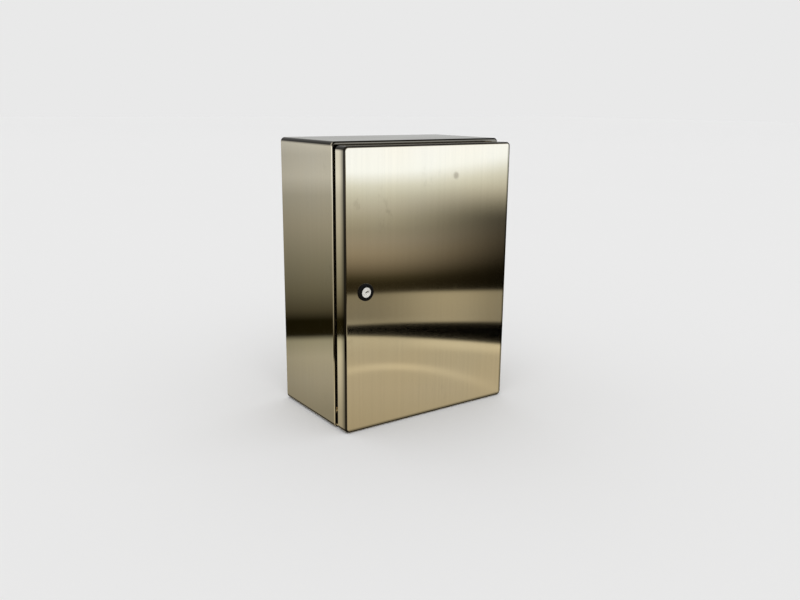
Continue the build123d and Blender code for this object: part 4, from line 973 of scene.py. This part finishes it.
@dataclass(frozen=True)
class RoomGlow(Finish):
    """What the metal mirrors: pale walls that darken to their foot, then a warm floor.

    A stop's place is the slope below level, and a way is a level direction by its X and Y.
    """

    name: str = "room_glow"
    radius: float = 20.0
    span: float = 0.6  # slope below level that the ramps cover

    FRONT_WAY, ACROSS_WAY = (0.6, -0.8), (0.8, 0.6)  # what the door mirrors, and to the right of it
    SIDE_WAY, ALONG_SIDE_WAY = (-0.48, 0.877), (0.877, 0.48)  # what the left wall mirrors
    COLUMN_WAY = (-0.866, 0.5)
    COLUMN_TONE = (0.06, 0.055, 0.04)
    ABOVE_LEVEL_TONE = (0.50, 0.51, 0.51)
    CEILING_TONE = (0.50, 0.50, 0.49)

    UPPER_STOPS = (
        (0.000, (1.45, 1.55, 1.75)), (0.062, (1.45, 1.62, 1.85)), (0.081, (1.03, 1.10, 1.08)),
        (0.096, (0.82, 0.85, 0.78)), (0.111, (0.68, 0.68, 0.60)), (0.126, (0.54, 0.53, 0.44)),
        (0.141, (0.44, 0.42, 0.34)), (0.157, (0.44, 0.40, 0.32)), (0.172, (0.40, 0.35, 0.26)),
        (0.184, (0.31, 0.265, 0.19)), (0.199, (0.15, 0.125, 0.08)), (0.2065, (0.07, 0.058, 0.03)),
        (0.214, (0.035, 0.028, 0.013)), (0.560, (0.04, 0.03, 0.015)),
    )
    LOWER_STOPS = (
        (0.218, (0.55, 0.50, 0.36)), (0.259, (0.50, 0.455, 0.335)), (0.288, (0.72, 0.67, 0.50)),
        (0.312, (0.62, 0.565, 0.42)), (0.368, (0.61, 0.55, 0.41)), (0.423, (0.54, 0.48, 0.34)),
        (0.500, (0.42, 0.37, 0.27)), (0.560, (0.06, 0.05, 0.035)),
    )
    SIDE_STOPS = (
        (0.00, (0.95, 0.98, 0.98)), (0.038, (0.66, 0.68, 0.67)), (0.067, (0.70, 0.72, 0.70)),
        (0.092, (0.50, 0.505, 0.465)), (0.132, (0.42, 0.41, 0.35)), (0.182, (0.28, 0.27, 0.21)),
        (0.222, (0.18, 0.17, 0.12)), (0.250, (0.09, 0.08, 0.05)), (0.264, (0.012, 0.010, 0.003)),
        (0.286, (0.015, 0.012, 0.004)), (0.294, (0.42, 0.41, 0.31)), (0.318, (0.52, 0.50, 0.40)),
        (0.353, (0.46, 0.44, 0.36)), (0.400, (0.34, 0.32, 0.25)), (0.500, (0.26, 0.24, 0.19)),
        (0.560, (0.05, 0.045, 0.03)),
    )
    ROUND_STOPS = (
        (0.000, (1.15, 1.20, 1.25)), (0.060, (1.10, 1.14, 1.14)), (0.100, (0.72, 0.72, 0.66)),
        (0.150, (0.56, 0.54, 0.46)), (0.215, (0.42, 0.39, 0.30)), (0.262, (0.16, 0.14, 0.09)),
        (0.285, (0.03, 0.025, 0.015)), (0.300, (0.03, 0.025, 0.015)), (0.306, (0.55, 0.51, 0.39)),
        (0.345, (0.62, 0.57, 0.44)), (0.430, (0.52, 0.47, 0.35)), (0.560, (0.36, 0.32, 0.24)),
    )

    def dress(self, graph: Graph) -> None:
        """The bands all round, with what the left wall, the door and the roof mirror laid over them."""
        point = graph.place((1.0 / self.radius,) * 3)
        slope = -1.0 * graph.axis(point, "Z")
        ways = (self.FRONT_WAY, self.ACROSS_WAY, self.SIDE_WAY, self.ALONG_SIDE_WAY, self.COLUMN_WAY)
        x, y = graph.axis(point, "X"), graph.axis(point, "Y")
        ahead, across, beside, along_side, column = (x * way[0] + y * way[1] for way in ways)
        side_fade = 1.03 - along_side.rise(-0.015, 0.045) * 0.24
        glow = self._ramp(graph, slope + across * 0.02, self.ROUND_STOPS)
        for mask, tone in (
            (beside.rise(0.88, 0.95), graph.shade(self._ramp(graph, slope, self.SIDE_STOPS), side_fade)),
            (column.rise(0.955, 0.985) * 0.9, self.COLUMN_TONE),
            (ahead.rise(0.55, 0.85), self._front(graph, slope, across)),
            (slope.rise(0.0, -0.03), self.ABOVE_LEVEL_TONE),
            (slope.rise(-0.20, -0.42), self.CEILING_TONE),
        ):
            glow = graph.blend(mask, glow, tone)
        light = graph.node("ShaderNodeEmission", None, {"Color": glow, "Strength": 1.0})
        graph.node("ShaderNodeOutputMaterial", None, {"Surface": light})

    def _front(self, graph: Graph, slope: Signal, across: Signal) -> Signal:
        """The wall, its dark foot, the pale floor, a dark strip across it and a soft streak.

        Args:
            graph: The material's graph.
            slope: The slope below level.
            across: How far to the right of the door's mirrored view.

        Returns:
            The colour.
        """
        offset = across + 0.054
        wall = self._ramp(graph, slope + offset * 0.12 + across * across * 0.6, self.UPPER_STOPS)
        wall = graph.shade(wall, 1 - across.rise(-0.08, 0.13) * slope.rise(0.07, 0.125) * 0.88)
        before_strip = slope.rise(0.280, 0.262)
        rising, falling = slope - across * 0.038, slope + across * 0.038
        bowed = slope - (across + 0.045) * (across + 0.045) * 1.5
        ground = self._ramp(graph, slope, self.LOWER_STOPS)
        for factor in (
            1 - across.rise(0.02, -0.07) * before_strip * 0.45,
            1 - across.rise(0.045, 0.095) * before_strip * 0.38,
            1 - falling.rise(0.2665, 0.2695) * rising.rise(0.2935, 0.2905),
            1 + rising.rise(0.290, 0.293) * rising.rise(0.312, 0.298) * across.rise(-0.04, 0.02) * 0.30,
            1 + bowed.rise(0.326, 0.332) * bowed.rise(0.341, 0.335) * across.rise(0.16, 0.04) * 0.38,
        ):
            ground = graph.shade(ground, factor)
        return graph.blend((slope + offset * 0.045).rise(0.2235, 0.2285), wall, ground)

    def _ramp(self, graph: Graph, slope: Signal, stops: Sequence[Tuple[float, Colour]]) -> Signal:
        """A colour ramp over the slope below level."""
        scaled = [(place / self.span, colour) for place, colour in stops]
        return graph.node("ShaderNodeValToRGB", {"stops": scaled}, {"Fac": slope * (1.0 / self.span)})


# ---- sub-assemblies
@dataclass
class CabinetShell:
    """The folded body, its rear wall, the gland plate group and the protective earth stud."""

    gasket_edge: float = 0.6 * MM
    thread: Thread = Thread(0.8 * MM, 0.42 * MM)

    def build(self) -> None:
        """Dresses the shell, and makes its gasket and threads."""
        dress_nodes(STAINLESS, "enclosure_body", "rear_panel")
        dress_nodes(GALVANISED, "gland_plate")
        dress_nodes(ZINC, "gland_plate_nuts", "body_earth_nut")
        make_seal("gland_gasket", "gland_plate_seal", "cabinet", self.gasket_edge)
        for node in ("gland_plate_studs", "body_earth_stud"):
            self.thread.cut(node, "cabinet")


@dataclass
class Door:
    """The door pan, its foam seal, its two rails and its earth stud."""

    seal_width: float = 12.0 * MM
    seal_corner: float = 8.0 * MM
    shoulder: Tuple[Range, ...] = (  # in from the edge, and share of the thickness
        (0.0, 0.0), (0.0, 0.55), (0.6 * MM, 0.80), (1.8 * MM, 0.95), (3.2 * MM, 1.0),
    )
    groove_half: float = 1.0 * MM  # the rim's print in the foam
    groove_depth: float = 0.8 * MM
    waviness: float = 0.35 * MM
    thread: Thread = Thread(0.8 * MM, 0.42 * MM)

    def build(self) -> None:
        """Dresses the door and makes its seal."""
        dress_nodes(STAINLESS_DOOR, "door_panel")
        dress_nodes(GALVANISED, "door_rail_left", "door_rail_right")
        dress_nodes(ZINC, "door_earth_nut")
        self.thread.cut("door_earth_stud", "door")
        self.seal()

    def seal(self) -> None:
        """The foamed seal: a soft crown with the print of the body's rim along its middle."""
        low, high = span("door_seal")
        half, thick = self.seal_width / 2, high.y - low.y
        groove, deep = self.groove_half, thick - self.groove_depth
        right = tuple((half - inward, share * thick) for inward, share in self.shoulder)
        right += (groove + 1.0 * MM, thick - 0.1 * MM), (groove + 0.3 * MM, deep + 0.25 * MM)
        right += ((groove - 0.3 * MM, deep),)
        section = right + tuple((-out, up) for out, up in reversed(right))
        ring = RoundedRing(high.x - low.x - self.seal_width, high.z - low.z - self.seal_width, self.seal_corner)
        form = ring.sweep(section)
        for vert in form.verts:
            if vert.co.z > 0.5 * thick:
                drift = noise.noise(vert.co * 24.0) * 0.5 + noise.noise(vert.co * 90.0) * 0.3 + 0.45
                vert.co.z -= self.waviness * max(0.0, min(1.0, drift))
        middle = (low + high) / 2
        place = Matrix.Translation((middle.x, low.y, middle.z)) @ turn_about("X", -90.0)
        bmesh.ops.transform(form, matrix=place, verts=form.verts[:])
        piece = make_piece("door_foam_seal", form, FOAM, "door", 75.0)
        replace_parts(piece, "door_seal")


@dataclass
class CamLock:
    """The quarter-turn lock."""

    seal_edge: float = 0.25 * MM

    def build(self) -> None:
        """Dresses the lock and makes its soft seal."""
        dress_nodes(LOCK_BLACK, "lock_housing")
        dress_nodes(INSERT_PLATE, "lock_insert")
        dress_nodes(CAST_ZINC, "lock_nut")
        dress_nodes(ZINC, "lock_cam", "lock_cam_screw")
        make_seal("lock_soft_seal", "lock_seal", "door", self.seal_edge)


@dataclass
class Hinges:
    """The two concealed hinges."""

    thread: Thread = Thread(0.7 * MM, 0.36 * MM)

    def build(self) -> None:
        """Dresses the hinges and threads their studs."""
        for level in ("lower", "upper"):
            dress_nodes(HINGE_STEEL, f"{level}_hinge_body_leaf", f"{level}_hinge_door_leaf")
            dress_nodes(ZINC, f"{level}_hinge_pin")
        dress_nodes(ZINC, "hinge_body_screws", "hinge_door_nuts")
        self.thread.cut("hinge_door_studs", "door")


@dataclass
class MountingPlate:
    """The mounting plate, its studs and collars, and the two mounting rails."""

    thread: Thread = Thread(1.25 * MM, 0.65 * MM)

    def build(self) -> None:
        """Dresses the plate and the rails, and threads the plate's studs."""
        dress_nodes(GALVANISED, "mounting_plate")
        dress_nodes(ALUMINIUM, "plate_standoffs")
        dress_nodes(ZINC, "plate_washers", "plate_nuts", "rail_screws")
        dress_nodes(RAIL_ZINC, "upper_mounting_rail", "lower_mounting_rail")
        self.thread.cut("plate_studs", "cabinet")


@dataclass
class Switchgear:
    """The row of modular devices on the upper rail."""

    devices: Tuple[str, ...] = (
        "main_switch", "rcd", "three_pole_breaker", "breaker_1", "breaker_2", "breaker_3",
    )
    edge: float = 0.45 * MM
    small_edge: float = 0.3 * MM  # on the button and the comb cover
    lever_angle: float = 35.0  # how far the levers hang below level at rest, in degrees
    hub_radius: float = 7.5 * MM
    ridge_places: Tuple[float, ...] = (9.6 * MM, 11.8 * MM, 14.0 * MM)  # from the lever's axis
    ridge_half: Range = (0.4 * MM, 2.85 * MM)
    ridge_inset: float = 0.6 * MM
    ridge_edge: float = 0.25 * MM
    window: SunkCard = SunkCard(0.35 * MM, 0.2 * MM, 0.8 * MM, 0.3 * MM)
    window_half: Range = (4.0 * MM, 2.2 * MM)
    window_drop: float = 16.5 * MM  # below the middle of the case
    flag_inset: float = 0.9 * MM
    flag_depths: Range = (0.15 * MM, 0.1 * MM)  # out of and into the case
    tag: SunkCard = SunkCard(0.5 * MM, 0.1 * MM, 0.5 * MM, 0.2 * MM)
    tag_inset: float = 1.8 * MM
    tag_rise: float = 17.0 * MM  # above the middle of the case
    tag_half: float = 2.75 * MM
    latch: SunkCard = SunkCard(13.0 * MM, -8.5 * MM, 1.1 * MM, 1.2 * MM)  # wholly in front of the rail
    latch_half: float = 3.2 * MM
    latch_ends: Range = (-3.6 * MM, 1.0 * MM)  # from the case's lower end

    def build(self) -> None:
        """Makes the devices' mouldings and their small parts."""
        levers = {"main_switch": LEVER_RED, "rcd": LEVER_BLUE}
        for name in self.devices:
            mould(f"{name}_case", CASE_GREY, self.edge)
            finish = levers.get(name, LEVER_BLACK)
            mould(f"{name}_lever", finish, self.edge, f"{name}_lever")
            self.grip(name, finish)
        self.fronts()
        self.latches()
        mould("rcd_test_button", BUTTON_YELLOW, self.small_edge, "rcd_test_button")
        mould("comb_cover", COVER_GREY, self.small_edge)
        dress_nodes(ZINC, "clamp_screws")
        dress_nodes(COPPER, "comb_busbar")

    def grip(self, name: str, finish: Finish) -> None:
        """Makes three cross ridges on both faces of a lever.

        Args:
            name: The device.
            finish: The lever's finish.
        """
        case_low, case_high = span(f"{name}_case")
        low, high = span(f"{name}_lever")
        axis = Vector(((low.x + high.x) / 2, high.y - self.hub_radius, (case_low.z + case_high.z) / 2))
        half = (high.x - low.x) / 2 - self.ridge_inset
        thick, tall = self.ridge_half
        form = bmesh.new()
        for place in self.ridge_places:
            add_block(form, (-half, -place - thick, -tall), (half, -place + thick, tall))
        soften_edges(form, self.ridge_edge, 3)
        turned = Matrix.Translation(axis) @ turn_about("X", self.lever_angle)
        bmesh.ops.transform(form, matrix=turned, verts=form.verts[:])
        make_piece(f"{name}_lever_grip", form, finish, f"{name}_lever")

    def fronts(self) -> None:
        """A sunk window with its flag, and a blank label carrier, on every device's nose."""
        frames, flags, tags = bmesh.new(), bmesh.new(), bmesh.new()
        wide, tall = self.window_half
        out, into = self.flag_depths
        for name in self.devices:
            low, high = span(f"{name}_case")
            lever_low, lever_high = span(f"{name}_lever")
            middle, face, row = (lever_low.x + lever_high.x) / 2, low.y, (low.z + high.z) / 2
            z = row - self.window_drop
            self.window.add(frames, face, (middle - wide, middle + wide), (z - tall, z + tall))
            add_block(
                flags, (middle - wide + self.flag_inset, face - out, z - tall + self.flag_inset),
                (middle + wide - self.flag_inset, face + into, z + tall - self.flag_inset),
            )
            z = row + self.tag_rise
            across = (low.x + self.tag_inset, high.x - self.tag_inset)
            self.tag.add(tags, face, across, (z - self.tag_half, z + self.tag_half))
        for form, width, name, finish in (
            (frames, CARD_EDGE, "device_windows", COVER_GREY),
            (flags, FLAG_EDGE, "device_flags", FLAG_GREEN),
            (tags, CARD_EDGE, "device_label_carriers", BLANK_WHITE),
        ):
            soften_edges(form, width)
            make_piece(name, form, finish, "cabinet")

    def latches(self) -> None:
        """The slotted latch feet that hold the devices on the rail."""
        form = bmesh.new()
        for name in self.devices:
            low, high = span(f"{name}_case")
            middle = (low.x + high.x) / 2
            across = (middle - self.latch_half, middle + self.latch_half)
            self.latch.add(form, high.y, across, tuple(low.z + end for end in self.latch_ends))
        soften_edges(form, LATCH_EDGE)
        make_piece("rail_latches", form, LEVER_BLACK, "cabinet")


@dataclass
class TerminalRow:
    """The terminals on the lower rail, and the end clamps."""

    block_edge: float = 0.25 * MM
    clamp_edge: float = 0.3 * MM
    screw_radius: float = 2.0 * MM
    screw_height: float = 1.6 * MM
    screw_edge: float = 0.3 * MM
    screw_sunk: float = 2.6 * MM  # behind the terminal's face
    screw_offset: float = 9.0 * MM  # from the terminal's middle
    slot_half: Range = (1.55 * MM, 0.32 * MM)
    slot_depth: float = 0.7 * MM
    stop_angles: Range = (37.0, 71.0)  # from one terminal to the next, and to each side
    tag: SunkCard = SunkCard(0.6 * MM, 0.1 * MM, 0.45 * MM, 0.15 * MM)
    tag_half: Range = (2.7 * MM, 3.2 * MM)

    def build(self) -> None:
        """Makes the terminals, their screws and their blank tags."""
        mould("terminal_blocks", TERMINAL_GREY, self.block_edge)
        mould("end_clamps", TERMINAL_GREY, self.clamp_edge)
        self.screws()
        self.tags()

    def screw(self) -> Form:
        """One slotted screw head, about the origin.

        Returns:
            The form, which faces +Z.
        """
        form = bmesh.new()
        bmesh.ops.create_cone(
            form, cap_ends=True, segments=20, radius1=self.screw_radius, radius2=self.screw_radius,
            depth=self.screw_height,
        )
        round_off(form, [e for e in form.edges if all(v.co.z > 0.0 for v in e.verts)], self.screw_edge)
        for way, half in zip((Vector((1.0, 0.0, 0.0)), Vector((0.0, 1.0, 0.0))), self.slot_half):
            for side in (-half, half):
                bmesh.ops.bisect_plane(form, geom=everything(form), plane_co=way * side, plane_no=way)
        form.normal_update()
        slot = [
            f for f in form.faces
            if f.normal.z > 0.99 and all(abs(f.calc_center_median()[i]) < self.slot_half[i] for i in (0, 1))
        ]
        made = bmesh.ops.extrude_face_region(form, geom=slot)["geom"]
        bmesh.ops.delete(form, geom=slot, context="FACES_ONLY")
        bmesh.ops.translate(form, vec=(0.0, 0.0, -self.slot_depth), verts=pick(made, Vert))
        return form

    def screws(self) -> None:
        """The slotted screws, two to a terminal, each stopped at its own angle."""
        mesh = mesh_of("screw", self.screw())
        form = bmesh.new()
        per_terminal, per_side = self.stop_angles
        for number, (low, high) in enumerate(solids_of("terminal_blocks")):
            x, y, z = (low.x + high.x) / 2, low.y + self.screw_sunk, (low.z + high.z) / 2
            for side in (-1, 1):
                stopped = turn_about("X", 90.0) @ turn_about("Z", per_terminal * number + per_side * side)
                place = Matrix.Translation((x, y, z + side * self.screw_offset)) @ stopped
                before = set(form.verts)
                form.from_mesh(mesh)
                bmesh.ops.transform(form, matrix=place, verts=[v for v in form.verts if v not in before])
        bpy.data.meshes.remove(mesh)
        make_piece("terminal_screws", form, ZINC, "cabinet", 40.0)

    def tags(self) -> None:
        """The blank tags between each terminal's two screws."""
        form = bmesh.new()
        wide, tall = self.tag_half
        for low, high in solids_of("terminal_blocks"):
            x, z = (low.x + high.x) / 2, (low.z + high.z) / 2
            self.tag.add(form, low.y, (x - wide, x + wide), (z - tall, z + tall))
        soften_edges(form, CARD_EDGE)
        make_piece("terminal_tags", form, BLANK_WHITE, "cabinet")


@dataclass
class BarPair:
    """The neutral bar and the earth bar."""

    edge: float = 0.3 * MM

    def build(self) -> None:
        """Dresses the bars and screws, and makes the supports' mouldings."""
        dress_nodes(BRASS, "neutral_bar", "earth_bar")
        mould("neutral_bar_supports", SUPPORT_BLUE, self.edge)
        mould("earth_bar_supports", SUPPORT_GREEN, self.edge)
        dress_nodes(ZINC, "bar_screws")


def main() -> None:
    """Builds the cabinet's sub-assemblies in order, then the studio."""
    logging.basicConfig(level=logging.INFO, format="%(message)s")
    for part in (
        CabinetShell(), Door(), CamLock(), Hinges(), MountingPlate(), Switchgear(), TerminalRow(), BarPair(),
    ):
        part.build()
        LOG.info("built %s", type(part).__name__)
    Studio().build()


if __name__ == "__main__":
    main()
